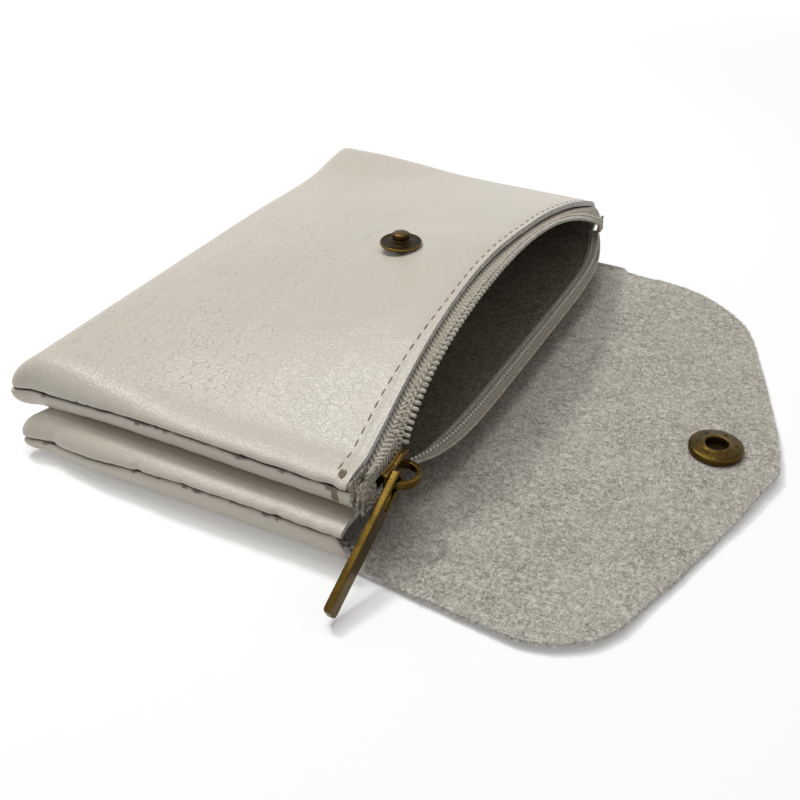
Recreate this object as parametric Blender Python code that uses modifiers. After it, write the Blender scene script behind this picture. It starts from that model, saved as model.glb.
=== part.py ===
"""Leather coin pouch with a zip pocket, an open card pocket behind it and a flap with a snap.

The pouch lies on its back on a table, zip and flap open. +X runs from the bottom seam past the
mouth to the flap's tip, +Y along the zip, +Z up. The origin is on the table under the middle of
the back panel.
"""

import math

import bmesh
import bpy
from mathutils import Matrix, Vector

MM = 0.001

# Leather and the clearance between pieces that touch
LEATHER = 1.2 * MM
SEAT_GAP = 0.3 * MM

# Zip pouch, the upper one: front panel over zip pocket back, sewn on three sides and turned
ZIP_POUCH_WIDTH = 130.0 * MM
ZIP_POUCH_DEPTH = 77.5 * MM
MOUTH_X = 38.0 * MM
ZIP_SEAM_HEIGHT = 13.6 * MM
FRONT_ROLL_HEIGHT = 3.6 * MM
BACK_ROLL_HEIGHT = 3.3 * MM
FRONT_CROWN = 13.4 * MM
CROWN_MARGIN_NEAR = 7.0 * MM
CROWN_MARGIN_FAR = 3.0 * MM
FRONT_MOUTH_PULLBACK = 2.5 * MM
BACK_MOUTH_OVERHANG = 5.0 * MM

# Card pouch, the lower one: card pocket panel over the back panel
CARD_POUCH_WIDTH = 133.0 * MM
CARD_POUCH_INSET = 3.5 * MM
CARD_SEAM_HEIGHT = 3.6 * MM
CARD_PUFF_HEIGHT = 9.5 * MM
CARD_POCKET_GAP = 4.5 * MM
CARD_MOUTH_OVERHANG = 2.6 * MM
SEAM_RUN_OUT = 5.0 * MM
SEAM_FADE = 12.0 * MM
FOLD_STRIP = 1.5 * MM
SAG_START = 8.0 * MM
SAG_LENGTH = 14.0 * MM
POUCH_SPACING = 0.6 * MM

# Turned edges
ROLL_WIDTH = 5.0 * MM
CORNER_RADIUS = 5.0 * MM

# Flap: it goes on from the back panel, bends up the height of the closed pouch and over it
FLAP_WIDTH = 131.0 * MM
FLAP_SKEW = math.radians(4.5)
FOLD_OVERHANG = 8.55 * MM
BEND_HEIGHT = 9.1 * MM
FOLD_AXIS_HEIGHT = 5.3 * MM
FLAP_TIP_MARGIN = 12.7 * MM
TIP_DROP_NEAR = 13.0 * MM
TIP_DROP_FAR = 28.0 * MM
TIP_ARC_POWER = 1.2
SHOULDER_RADIUS = 13.0 * MM
LIFT_FLAT_RADIUS = 8.0 * MM
LIFT_FADE = 22.0 * MM

# Snap fastener
STUD_SETBACK = 24.1 * MM
STUD_Y = 0.0
STUD_WASHER_RADIUS = 4.6 * MM
STUD_WASHER_THICKNESS = 0.7 * MM
STUD_NECK_RADIUS = 1.5 * MM
STUD_HEAD_RADIUS = 1.9 * MM
STUD_HEIGHT = 2.7 * MM
POST_RADIUS = 1.1 * MM
POST_HOLE_RADIUS = 1.4 * MM
POST_HEAD_RADIUS = 4.2 * MM
POST_HEAD_THICKNESS = 0.7 * MM
SOCKET_RADIUS = 5.75 * MM
SOCKET_HEIGHT = 2.2 * MM
SOCKET_HOLE_RADIUS = 2.4 * MM
SOCKET_GROOVE_RADIUS = 3.2 * MM
SOCKET_LIP = 0.8 * MM
SPRING_WIRE_RADIUS = 0.3 * MM
CAP_RADIUS = 6.2 * MM
CAP_THICKNESS = 0.9 * MM
CAP_FLOOR = 0.35 * MM
CAP_SHANK_RADIUS = 2.4 * MM
SHANK_BORE_RADIUS = 2.0 * MM
SHANK_REACH = 0.3 * MM

# Zip
TAPE_THICKNESS = 0.5 * MM
TAPE_UNDER_LEATHER = 4.0 * MM
TOOTH_PITCH = 1.5 * MM
TOOTH_LENGTH = 1.2 * MM
TOOTH_ROOT = 1.0 * MM
TOOTH_THICKNESS = 1.4 * MM
CHAIN_HALF_WIDTH = 1.7 * MM
FRONT_CHAIN_RISE = 16.4 * MM
BACK_CHAIN_DROP = 3.9 * MM
BACK_CHAIN_REACH = 4.6 * MM
ZIP_FAR_MARGIN = 5.0 * MM
TAPE_END_LENGTH = 4.6 * MM
TAPE_END_WIDTH = 5.2 * MM
TAPE_END_DEPTH = 2.3 * MM

# Slider
SLIDER_LENGTH = 8.6 * MM
SLIDER_FRONT_WIDTH = 5.6 * MM
SLIDER_REAR_WIDTH = 4.4 * MM
SLIDER_PLATE = 0.75 * MM
SLIDER_CHANNEL = 1.8 * MM
SLIDER_NEAR_MARGIN = 10.8 * MM
SLIDER_BODY_GAP = 0.3 * MM
TAPE_SLOT = 1.0 * MM
DIVIDER_WIDTH = 1.5 * MM
REAR_CHANNEL_WIDTH = 2.7 * MM
CHAIN_CHANNEL_WIDTH = 1.35 * MM
CROWN_RADIUS = 3.1 * MM
CROWN_WIRE_RADIUS = 0.65 * MM

# Pull
PULL_REACH = 24.5 * MM
PULL_EYE_END = 2.2 * MM
PULL_WIDTH = 3.2 * MM
PULL_THICKNESS = 1.3 * MM
PULL_SLOT_REACH = 5.3 * MM
PULL_SLOT_WIDTH = 1.9 * MM
PULL_CORNER = 0.6 * MM
PULL_DROOP = math.radians(26.0)
PULL_STANDOFF = 0.3 * MM

# Places worked out from the sizes above
ZIP_BOTTOM_X = MOUTH_X - ZIP_POUCH_DEPTH
CARD_BOTTOM_X = ZIP_BOTTOM_X + CARD_POUCH_INSET
HALF_ZIP = ZIP_POUCH_WIDTH / 2
HALF_CARD = CARD_POUCH_WIDTH / 2
HALF_FLAP = FLAP_WIDTH / 2
CARD_TOP = LEATHER + CARD_POCKET_GAP + LEATHER
CARD_SAG = CARD_PUFF_HEIGHT - CARD_TOP
STUD_X = MOUTH_X - STUD_SETBACK
FOLD_X = MOUTH_X + FOLD_OVERHANG
SOCKET_REACH = BEND_HEIGHT + (FOLD_X - STUD_X) / math.cos(FLAP_SKEW)
FOLD_Y = STUD_Y - (SOCKET_REACH - BEND_HEIGHT) * math.sin(FLAP_SKEW)
FLAP_REACH = SOCKET_REACH + FLAP_TIP_MARGIN
FLAP_LIFT = CAP_THICKNESS + SEAT_GAP
SLIDER_Y = -HALF_ZIP + SLIDER_NEAR_MARGIN
SLIDER_DEPTH = SLIDER_CHANNEL + 2 * SLIDER_PLATE
SLIDER_X = MOUTH_X + SLIDER_BODY_GAP + SLIDER_DEPTH / 2
ZIP_START_Y = SLIDER_Y + SLIDER_LENGTH / 2 + SEAT_GAP
ZIP_END_Y = HALF_ZIP - ZIP_FAR_MARGIN
PULL_X = SLIDER_X + SLIDER_DEPTH / 2 + PULL_STANDOFF + PULL_THICKNESS / 2

ROLL_STEPS = 4
PANEL_COLUMNS = 24
PANEL_ROWS = 14
FINE_STEPS = 24


def clear_scene():
    for item in list(bpy.data.objects):
        bpy.data.objects.remove(item, do_unlink=True)


def new_collection(name):
    group = bpy.data.collections.new(name)
    bpy.context.scene.collection.children.link(group)
    return group


def finish_material(name, colour, roughness, metallic):
    made = bpy.data.materials.new(name)
    made.use_nodes = True
    shader = made.node_tree.nodes["Principled BSDF"]
    shader.inputs["Base Color"].default_value = (*colour, 1.0)
    shader.inputs["Roughness"].default_value = roughness
    shader.inputs["Metallic"].default_value = metallic
    return made


def add_object(name, mesh, group, finish):
    item = bpy.data.objects.new(name, mesh)
    item.data.materials.append(finish)
    group.objects.link(item)
    return item


def mesh_from(bm, name):
    mesh = bpy.data.meshes.new(name)
    bm.to_mesh(mesh)
    bm.free()
    return mesh


def smoothstep(value):
    share = min(1.0, max(0.0, value))
    return share * share * (3.0 - 2.0 * share)


def thicken(item, thickness, side):
    """Gives an open surface its thickness, on the side its normals point to or away from."""
    wall = item.modifiers.new("thickness", "SOLIDIFY")
    wall.thickness = thickness
    wall.offset = side
    wall.use_even_offset = True
    return item


def surface(name, columns, rows, place, thickness, side, group, finish, flipped=False):
    """A grid of columns x rows, each point put in its place by its column and row number."""
    bm = bmesh.new()
    bmesh.ops.create_grid(bm, x_segments=columns, y_segments=rows, size=1.0)
    for vert in bm.verts:
        column = round((vert.co.x + 1.0) / 2.0 * columns)
        row = round((vert.co.y + 1.0) / 2.0 * rows)
        vert.co = Vector(place(column, row))
    if flipped:
        bmesh.ops.reverse_faces(bm, faces=bm.faces[:])
    item = add_object(name, mesh_from(bm, name), group, finish)
    item.data.shade_smooth()
    return thicken(item, thickness, side)


def ring_profile(step):
    """Inset and rise of the turned edge, as shares, from the seam (0) to its top (ROLL_STEPS)."""
    upright = 0.15
    if step == 0:
        return 0.0, 0.0
    angle = math.pi / 2 * (step - 1) / (ROLL_STEPS - 1)
    return 1.0 - math.cos(angle), upright + (1.0 - upright) * math.sin(angle)


def panel_plan(column, row, columns, rows, half_width, bottom_x, mouth_x):
    """Plan position of a panel's grid point and how far up the turned edge it is (0 to 1)."""
    from_side = min(column, columns - column)
    side = -1.0 if column <= columns / 2 else 1.0
    inner = half_width - ROLL_WIDTH
    share = (column - ROLL_STEPS) / (columns - 2 * ROLL_STEPS)
    ring = min(from_side, row, ROLL_STEPS)
    inset, rise = ring_profile(ring)
    inset *= ROLL_WIDTH
    corner_x = bottom_x + CORNER_RADIUS
    corner_y = side * (half_width - CORNER_RADIUS)
    if from_side < ROLL_STEPS and row < ROLL_STEPS:
        turn = math.pi / 4
        if row >= from_side:
            angle = turn * (ROLL_STEPS - row) / (ROLL_STEPS - ring)
        else:
            angle = 2 * turn - turn * (ROLL_STEPS - from_side) / (ROLL_STEPS - ring)
        reach = CORNER_RADIUS - inset
        return corner_x - reach * math.sin(angle), corner_y + side * reach * math.cos(angle), rise
    if from_side < ROLL_STEPS:
        y = side * (half_width - inset)
        along = (row - ROLL_STEPS) / (rows - ROLL_STEPS)
        return corner_x + (mouth_x(y) - corner_x) * along, y, rise
    y = -inner + 2 * inner * share
    if row < ROLL_STEPS:
        y = max(-abs(corner_y), min(abs(corner_y), y))
        return bottom_x + inset, y, rise
    along = (row - ROLL_STEPS) / (rows - ROLL_STEPS)
    start = bottom_x + ROLL_WIDTH
    return start + (mouth_x(y) - start) * along, y, 1.0


def arch(y):
    """Height of the gaping mouth's arch across the pouch, 0 at its ends and 1 in the middle."""
    margin = CROWN_MARGIN_NEAR if y < 0 else CROWN_MARGIN_FAR
    share = 1.0 - (y / (HALF_ZIP - margin)) ** 2
    return max(0.0, share) ** 1.15


def front_mouth(y):
    return MOUTH_X - FRONT_MOUTH_PULLBACK * arch(y)


def back_mouth(y):
    return MOUTH_X + BACK_MOUTH_OVERHANG * arch(y) ** 1.5


def card_mouth(y):
    return MOUTH_X + CARD_MOUTH_OVERHANG * arch(y) ** 1.5


def front_height(x, y):
    """Outer surface of the front panel inside its turned edge."""
    length = MOUTH_X - ZIP_BOTTOM_X - ROLL_WIDTH
    left = min(1.0, max(0.0, (MOUTH_X - x) / length))
    crown = FRONT_CROWN * (1.0 - left ** 1.5) * arch(y)
    return ZIP_SEAM_HEIGHT + SEAT_GAP / 2 + FRONT_ROLL_HEIGHT + crown


def pouch_sag(x, y):
    """How far the two pouches sink onto each other between their turned edges, 0 to 1."""
    across = smoothstep((HALF_CARD - abs(y) - SAG_START) / SAG_LENGTH)
    along = smoothstep((x - CARD_BOTTOM_X - SAG_START) / SAG_LENGTH)
    return across * along


def card_height(x, y):
    return CARD_PUFF_HEIGHT - CARD_SAG * pouch_sag(x, y)


def zip_back_height(x, y):
    """Underside of the zip pocket back: it lies on the card pocket panel."""
    rim = ZIP_SEAM_HEIGHT - SEAT_GAP / 2 - BACK_ROLL_HEIGHT
    return min(rim, CARD_PUFF_HEIGHT + POUCH_SPACING) - CARD_SAG * pouch_sag(x, y)


def front_panel(group, cutters, finish):
    seam = ZIP_SEAM_HEIGHT + SEAT_GAP / 2

    def place(column, row):
        x, y, rise = panel_plan(
            column, row, PANEL_COLUMNS, PANEL_ROWS, HALF_ZIP, ZIP_BOTTOM_X, front_mouth
        )
        return x, y, seam + (front_height(x, y) - seam) * rise

    item = surface("front_panel", PANEL_COLUMNS, PANEL_ROWS, place, LEATHER, -1.0, group, finish, True)
    low, high = surface_range(STUD_X, STUD_Y, POST_HOLE_RADIUS)
    bottom, top = low - 2 * LEATHER, high + LEATHER
    cut(item, round_cutter("cut_post_hole", POST_HOLE_RADIUS, bottom, top, (STUD_X, STUD_Y), cutters))
    return item


def zip_pocket_back(group, finish):
    seam = ZIP_SEAM_HEIGHT - SEAT_GAP / 2

    def place(column, row):
        x, y, rise = panel_plan(
            column, row, PANEL_COLUMNS, PANEL_ROWS, HALF_ZIP, ZIP_BOTTOM_X, back_mouth
        )
        return x, y, seam + (zip_back_height(x, y) - seam) * rise

    return surface("zip_pocket_back", PANEL_COLUMNS, PANEL_ROWS, place, LEATHER, -1.0, group, finish)


def card_pocket_panel(group, finish):
    seam = CARD_SEAM_HEIGHT + SEAT_GAP / 2

    def place(column, row):
        x, y, rise = panel_plan(
            column, row, PANEL_COLUMNS, PANEL_ROWS, HALF_CARD, CARD_BOTTOM_X, card_mouth
        )
        return x, y, seam + (card_height(x, y) - seam) * rise

    return surface("card_pocket_panel", PANEL_COLUMNS, PANEL_ROWS, place, LEATHER, -1.0, group, finish, True)


def flap_point(reach, across):
    """Plan position of a point of the flap, from its distance past the fold and across it."""
    cos, sin = math.cos(FLAP_SKEW), math.sin(FLAP_SKEW)
    return FOLD_X + reach * cos + across * sin, FOLD_Y - reach * sin + across * cos


def fold_line(y):
    return FOLD_X + (y - FOLD_Y) * math.tan(FLAP_SKEW)


def back_panel(group, finish):
    """Back of the card pouch: its sides turn up to the seam and run out flat towards the flap."""
    seam = CARD_SEAM_HEIGHT - SEAT_GAP / 2
    rows = PANEL_ROWS + 2

    def place(column, row):
        if row > PANEL_ROWS:
            side = -1.0 + 2.0 * column / PANEL_COLUMNS
            reach = -FOLD_STRIP if row < rows else -SEAT_GAP / 2
            return (*flap_point(reach, side * HALF_FLAP), 0.0)
        x, y, rise = panel_plan(
            column, row, PANEL_COLUMNS, PANEL_ROWS, HALF_CARD, CARD_BOTTOM_X,
            lambda across: fold_line(across) - SEAM_RUN_OUT
        )
        left = fold_line(y) - FOLD_STRIP - x
        return x, y, seam * (1.0 - rise) * smoothstep(left / SEAM_FADE)

    return surface("back_panel", PANEL_COLUMNS, rows, place, LEATHER, -1.0, group, finish)


def flap_outline(across):
    """Reach of the flap's cut edge at a distance from its middle: arced tip and round shoulders."""
    half = abs(across)
    drop = TIP_DROP_NEAR if across < 0 else TIP_DROP_FAR
    reach = FLAP_REACH - drop * (half / HALF_FLAP) ** TIP_ARC_POWER
    left = HALF_FLAP - half
    if left < SHOULDER_RADIUS:
        reach -= SHOULDER_RADIUS * (1.0 - math.sqrt(1.0 - (1.0 - left / SHOULDER_RADIUS) ** 2))
    return reach


def flap_lift(reach, across):
    """The flap rests on the snap cap, so round it the leather stands off the table."""
    away = math.hypot(reach - SOCKET_REACH, across)
    return FLAP_LIFT * (1.0 - smoothstep((away - LIFT_FLAT_RADIUS) / LIFT_FADE))


def edge_crowded(share):
    """Spreads grid lines across the flap, closer together at the shoulders."""
    return math.sin(share * math.pi / 2)


def flap(group, cutters, finish):
    columns, rows = 28, 9

    def place(column, row):
        across = HALF_FLAP * edge_crowded(-1.0 + 2.0 * column / columns)
        start = BEND_HEIGHT + SEAT_GAP / 2
        reach = start + (flap_outline(across) - start) * row / rows
        return (*flap_point(reach, across), flap_lift(reach, across))

    item = surface("flap", columns, rows, place, LEATHER, -1.0, group, finish)
    top = FLAP_LIFT + 2 * LEATHER
    cut(item, round_cutter("cut_shank_hole", CAP_SHANK_RADIUS + SEAT_GAP, -LEATHER, top, socket_place(), cutters))
    return item


def socket_place():
    return flap_point(SOCKET_REACH, 0.0)


def flap_bend(group, finish):
    columns, rows = 6, 3

    def place(column, row):
        across = HALF_FLAP * (-1.0 + 2.0 * column / columns)
        reach = SEAT_GAP / 2 + (BEND_HEIGHT - SEAT_GAP) * row / rows
        return (*flap_point(reach, across), 0.0)

    return surface("flap_bend", columns, rows, place, LEATHER, -1.0, group, finish)


def lathe(name, profile, centre, group, finish, steps=FINE_STEPS):
    """Turned piece: (radius, height) points from the axis, or round a ring, down its outer side."""
    bm = bmesh.new()
    points = [bm.verts.new((radius, 0.0, height)) for radius, height in profile]
    for first, second in zip(points, points[1:]):
        bm.edges.new((first, second))
    if profile[0][0] > 0.0:
        bm.edges.new((points[-1], points[0]))
    item = add_object(name, mesh_from(bm, name), group, finish)
    turn = item.modifiers.new("turn", "SCREW")
    turn.steps = steps
    turn.render_steps = steps
    turn.use_merge_vertices = True
    turn.merge_threshold = 0.00001
    turn.use_smooth_shade = True
    item.location = centre
    return item


def surface_range(x, y, radius):
    """Lowest and highest point of the front panel's outer surface within a radius."""
    heights = [
        front_height(x + radius * math.cos(angle), y + radius * math.sin(angle))
        for angle in (math.tau * step / FINE_STEPS for step in range(FINE_STEPS))
    ]
    return min(heights), max(heights)


def snap_stud(group, finish):
    seat = surface_range(STUD_X, STUD_Y, STUD_WASHER_RADIUS)[1] + SEAT_GAP / 2
    profile = [
        (0.0, STUD_HEIGHT),
        (STUD_HEAD_RADIUS - 0.5 * MM, STUD_HEIGHT),
        (STUD_HEAD_RADIUS - 0.15 * MM, STUD_HEIGHT - 0.15 * MM),
        (STUD_HEAD_RADIUS, STUD_HEIGHT - 0.5 * MM),
        (STUD_HEAD_RADIUS, STUD_HEIGHT - 0.9 * MM),
        (STUD_NECK_RADIUS, STUD_HEIGHT - 1.3 * MM),
        (STUD_NECK_RADIUS, STUD_WASHER_THICKNESS + 0.1 * MM),
        (STUD_WASHER_RADIUS - 0.6 * MM, STUD_WASHER_THICKNESS),
        (STUD_WASHER_RADIUS, STUD_WASHER_THICKNESS - 0.4 * MM),
        (STUD_WASHER_RADIUS, 0.0),
        (0.0, 0.0),
    ]
    return lathe("snap_stud", profile, (STUD_X, STUD_Y, seat), group, finish)


def stud_post(group, finish):
    """Rivet that holds the stud: its shank goes through the leather, its head is inside."""
    seat = surface_range(STUD_X, STUD_Y, STUD_WASHER_RADIUS)[1]
    head_top = surface_range(STUD_X, STUD_Y, POST_HEAD_RADIUS)[0] - LEATHER - SEAT_GAP - seat
    profile = [
        (0.0, -SEAT_GAP / 2),
        (POST_RADIUS, -SEAT_GAP / 2),
        (POST_RADIUS, head_top),
        (POST_HEAD_RADIUS, head_top),
        (POST_HEAD_RADIUS, head_top - POST_HEAD_THICKNESS),
        (0.0, head_top - POST_HEAD_THICKNESS),
    ]
    return lathe("stud_post", profile, (STUD_X, STUD_Y, seat), group, finish)


def snap_socket(group, finish):
    lip_start = SOCKET_HEIGHT - SOCKET_LIP
    side = SOCKET_RADIUS - 0.15 * MM
    profile = [
        (SOCKET_HOLE_RADIUS + 0.8 * MM, SOCKET_HEIGHT),
        (side - 0.4 * MM, SOCKET_HEIGHT - 0.2 * MM),
        (side, SOCKET_HEIGHT - 0.6 * MM),
        (side, 1.0 * MM),
        (SOCKET_RADIUS, 0.8 * MM),
        (SOCKET_RADIUS, 0.0),
        (SOCKET_GROOVE_RADIUS, 0.0),
        (SOCKET_GROOVE_RADIUS, lip_start),
        (SOCKET_HOLE_RADIUS, lip_start),
        (SOCKET_HOLE_RADIUS, SOCKET_HEIGHT - 0.3 * MM),
    ]
    centre = (*socket_place(), FLAP_LIFT + LEATHER + SEAT_GAP)
    return lathe("snap_socket", profile, centre, group, finish, 32)


def socket_spring(group, finish):
    """Split ring of spring wire in the socket's groove, which grips the stud's ball."""
    radius = SOCKET_GROOVE_RADIUS - SPRING_WIRE_RADIUS - 0.1 * MM
    curve = bpy.data.curves.new("socket_spring", "CURVE")
    curve.dimensions = "3D"
    curve.bevel_depth = SPRING_WIRE_RADIUS
    curve.bevel_resolution = 1
    curve.use_fill_caps = True
    spline = curve.splines.new("POLY")
    steps = 16
    spline.points.add(steps)
    open_angle = math.radians(40.0)
    for step in range(steps + 1):
        angle = open_angle / 2 + (2 * math.pi - open_angle) * step / steps
        spline.points[step].co = (radius * math.cos(angle), radius * math.sin(angle), 0.0, 1.0)
    item = add_object("socket_spring", curve, group, finish)
    height = FLAP_LIFT + LEATHER + SEAT_GAP + (SOCKET_HEIGHT - SOCKET_LIP + SHANK_REACH) / 2
    item.location = (*socket_place(), height)
    return item


def snap_cap(group, finish):
    """Cap on the flap's grain side, with its hollow shank through the leather into the socket."""
    shank_top = FLAP_LIFT + LEATHER + SEAT_GAP + SHANK_REACH
    profile = [
        (0.0, CAP_FLOOR),
        (SHANK_BORE_RADIUS, CAP_FLOOR),
        (SHANK_BORE_RADIUS, shank_top),
        (CAP_SHANK_RADIUS, shank_top),
        (CAP_SHANK_RADIUS, CAP_THICKNESS),
        (CAP_RADIUS - 0.4 * MM, CAP_THICKNESS),
        (CAP_RADIUS, CAP_THICKNESS - 0.3 * MM),
        (CAP_RADIUS - 0.3 * MM, 0.35 * MM),
        (CAP_RADIUS - 1.5 * MM, 0.0),
        (0.0, 0.0),
    ]
    return lathe("snap_cap", profile, (*socket_place(), 0.0), group, finish, 32)


def cut(item, cutter, operation="DIFFERENCE"):
    change = item.modifiers.new("cut", "BOOLEAN")
    change.operation = operation
    change.object = cutter
    change.solver = "EXACT"


def add_cutter(name, mesh, centre, cutters):
    item = bpy.data.objects.new(name, mesh)
    cutters.objects.link(item)
    item.location = centre
    item.hide_render = True
    item.display_type = "WIRE"
    return item


def round_cutter(name, radius, low, high, centre, cutters):
    bm = bmesh.new()
    bmesh.ops.create_cone(
        bm, cap_ends=True, cap_tris=False, segments=FINE_STEPS, radius1=radius, radius2=radius, depth=high - low
    )
    return add_cutter(name, mesh_from(bm, name), (centre[0], centre[1], (low + high) / 2), cutters)


def box_mesh(name, low, high):
    bm = bmesh.new()
    bmesh.ops.create_cube(bm, size=1.0)
    size = Vector(high) - Vector(low)
    centre = (Vector(high) + Vector(low)) / 2
    bmesh.ops.scale(bm, vec=size, verts=bm.verts[:])
    bmesh.ops.translate(bm, vec=centre, verts=bm.verts[:])
    return mesh_from(bm, name)


def front_chain(y):
    """Centre line of the front zip chain's teeth roots: up over the gaping mouth."""
    half = -ZIP_START_Y if y < 0 else ZIP_END_Y
    power = 0.6 if y < 0 else 1.0
    rise = max(0.0, 1.0 - (y / half) ** 2) ** power
    x = SLIDER_X - 0.4 * MM * rise
    return Vector((x, y, ZIP_SEAM_HEIGHT + CHAIN_HALF_WIDTH + FRONT_CHAIN_RISE * rise))


def back_chain(y):
    """Centre line of the back zip chain: out and down over the card pocket's lip."""
    half = -ZIP_START_Y if y < 0 else ZIP_END_Y
    power = 5 if y < 0 else 7
    drop = max(0.0, 1.0 - (abs(y) / half) ** power)
    z = ZIP_SEAM_HEIGHT - CHAIN_HALF_WIDTH - BACK_CHAIN_DROP * drop
    return Vector((SLIDER_X + BACK_CHAIN_REACH * drop, y, z))


def panel_facets(height, y):
    """Height of a panel's flat facet at y, from the panel's own columns on either side."""
    inner = HALF_ZIP - ROLL_WIDTH
    spacing = 2 * inner / (PANEL_COLUMNS - 2 * ROLL_STEPS)
    low = max(-inner, min(inner - spacing, -inner + spacing * math.floor((y + inner) / spacing)))
    share = (y - low) / spacing
    return height(low) * (1.0 - share) + height(low + spacing) * share


def tape_point(front, y, inset):
    """Point of the tape under the leather, at a distance behind its cut edge."""
    if front:
        x = front_mouth(y) - inset
        z = panel_facets(lambda across: front_height(front_mouth(across) - inset, across), y)
        return Vector((x, y, z - LEATHER - SEAT_GAP))
    x = back_mouth(y) - inset
    z = panel_facets(lambda across: zip_back_height(back_mouth(across) - inset, across), y)
    return Vector((x, y, z + LEATHER + SEAT_GAP))


def zip_y(share):
    return ZIP_START_Y + (ZIP_END_Y - ZIP_START_Y) * share


def tooth_count():
    return int((ZIP_END_Y - ZIP_START_Y) / TOOTH_PITCH)


def zip_tape(name, front, group, finish):
    columns, rows = tooth_count(), 2
    path = front_chain if front else back_chain

    def place(column, row):
        y = zip_y(column / columns)
        lip = tape_point(front, y, 0.0)
        if row == 0:
            return tape_point(front, y, TAPE_UNDER_LEATHER)
        if row == 1:
            return lip
        chain = path(y)
        toward = (chain - lip).normalized()
        return chain - toward * (TOOTH_ROOT + SEAT_GAP)

    side = -1.0 if front else 1.0
    return surface(name, columns, rows, place, TAPE_THICKNESS, side, group, finish, True)


def zip_teeth(name, front, group, finish):
    """A comb: the cord that holds the teeth, with one tooth on every other step."""
    path = front_chain if front else back_chain
    columns = 2 * tooth_count() + 1
    bm = bmesh.new()
    bmesh.ops.create_grid(bm, x_segments=columns, y_segments=2, size=1.0)
    gaps = []
    for face in bm.faces:
        centre = face.calc_center_median()
        column = math.floor((centre.x + 1.0) / 2.0 * columns)
        if centre.y > 0.0 and column % 2 == 0:
            gaps.append(face)
    bmesh.ops.delete(bm, geom=gaps, context="FACES")
    for vert in bm.verts:
        share = (vert.co.x + 1.0) / 2.0
        y = zip_y(share)
        chain = path(y)
        toward = (chain - tape_point(front, y, 0.0)).normalized()
        row = round(vert.co.y + 1.0)
        offset = (-TOOTH_ROOT, 0.0, TOOTH_LENGTH)[row]
        vert.co = chain + toward * offset
    bmesh.ops.reverse_faces(bm, faces=bm.faces[:])
    item = add_object(name, mesh_from(bm, name), group, finish)
    return thicken(item, TOOTH_THICKNESS, 0.0)


def tape_end(name, low_y, high_y, group, finish):
    """Folded end of the two tapes, sewn in at a corner of the mouth."""
    low = (MOUTH_X + SEAT_GAP, low_y, ZIP_SEAM_HEIGHT - TAPE_END_WIDTH / 2)
    high = (MOUTH_X + SEAT_GAP + TAPE_END_DEPTH, high_y, ZIP_SEAM_HEIGHT + TAPE_END_WIDTH / 2)
    item = add_object(name, box_mesh(name, low, high), group, finish)
    rounding = item.modifiers.new("rounding", "BEVEL")
    rounding.width = 0.6 * MM
    rounding.segments = 2
    return item


def zip_slider(group, cutters, finish):
    """Two plates joined by the divider, with a channel for each chain and slots for the tapes."""
    centre = Vector((SLIDER_X, SLIDER_Y, ZIP_SEAM_HEIGHT))
    bm = bmesh.new()
    bmesh.ops.create_cube(bm, size=1.0)
    for vert in bm.verts:
        width = SLIDER_FRONT_WIDTH if vert.co.y > 0 else SLIDER_REAR_WIDTH
        vert.co = Vector((vert.co.x * SLIDER_DEPTH, vert.co.y * SLIDER_LENGTH, vert.co.z * width))
    item = add_object("zip_slider", mesh_from(bm, "zip_slider"), group, finish)
    item.location = centre
    rounding = item.modifiers.new("rounding", "BEVEL")
    rounding.width = 0.6 * MM
    rounding.segments = 2
    half = SLIDER_CHANNEL / 2
    low, high = DIVIDER_WIDTH / 2, DIVIDER_WIDTH / 2 + CHAIN_CHANNEL_WIDTH
    past = SLIDER_LENGTH
    boxes = [("rear_channel", (-half, -past, -REAR_CHANNEL_WIDTH / 2), (half, 0.0, REAR_CHANNEL_WIDTH / 2))]
    for end, sign in (("top", 1.0), ("bottom", -1.0)):
        edges = sorted((sign * low, sign * high))
        boxes.append((f"{end}_channel", (-half, -0.1 * past, edges[0]), (half, past, edges[1])))
        edges = sorted((sign * 1.4 * low, sign * SLIDER_FRONT_WIDTH))
        boxes.append((f"{end}_tape_slot", (-TAPE_SLOT / 2, -past, edges[0]), (TAPE_SLOT / 2, past, edges[1])))
    for label, box_low, box_high in boxes:
        name = f"cut_{label}"
        cut(item, add_cutter(name, box_mesh(name, box_low, box_high), centre, cutters))
    return item


def bar_curve(name, points, radius, resolution, group, finish):
    curve = bpy.data.curves.new(name, "CURVE")
    curve.dimensions = "3D"
    curve.bevel_depth = radius
    curve.bevel_resolution = resolution
    curve.use_fill_caps = True
    spline = curve.splines.new("POLY")
    spline.points.add(len(points) - 1)
    for point, place in zip(spline.points, points):
        point.co = (*place, 1.0)
    return add_object(name, curve, group, finish)


def slider_crown(group, finish):
    """Half ring on the slider's outer plate: the pull's eye can go all the way round its arc."""
    foot = SLIDER_DEPTH / 2 + SEAT_GAP
    middle = PULL_X - SLIDER_X
    steps = 10
    points = [(foot, -CROWN_RADIUS, 0.0)]
    for step in range(steps + 1):
        angle = -math.pi / 2 + math.pi * step / steps
        points.append((middle + CROWN_RADIUS * math.cos(angle), CROWN_RADIUS * math.sin(angle), 0.0))
    points.append((foot, CROWN_RADIUS, 0.0))
    item = bar_curve("slider_crown", points, CROWN_WIRE_RADIUS, 2, group, finish)
    item.location = (SLIDER_X, SLIDER_Y, ZIP_SEAM_HEIGHT)
    return item


def rounded_rectangle(low_x, high_x, half_y, radius):
    corners = (
        (high_x - radius, half_y - radius, 0), (low_x + radius, half_y - radius, 1),
        (low_x + radius, radius - half_y, 2), (high_x - radius, radius - half_y, 3),
    )
    points = []
    for x, y, quarter in corners:
        for step in range(4):
            angle = math.pi / 2 * (quarter + step / 3)
            points.append((x + radius * math.cos(angle), y + radius * math.sin(angle)))
    return points


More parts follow.
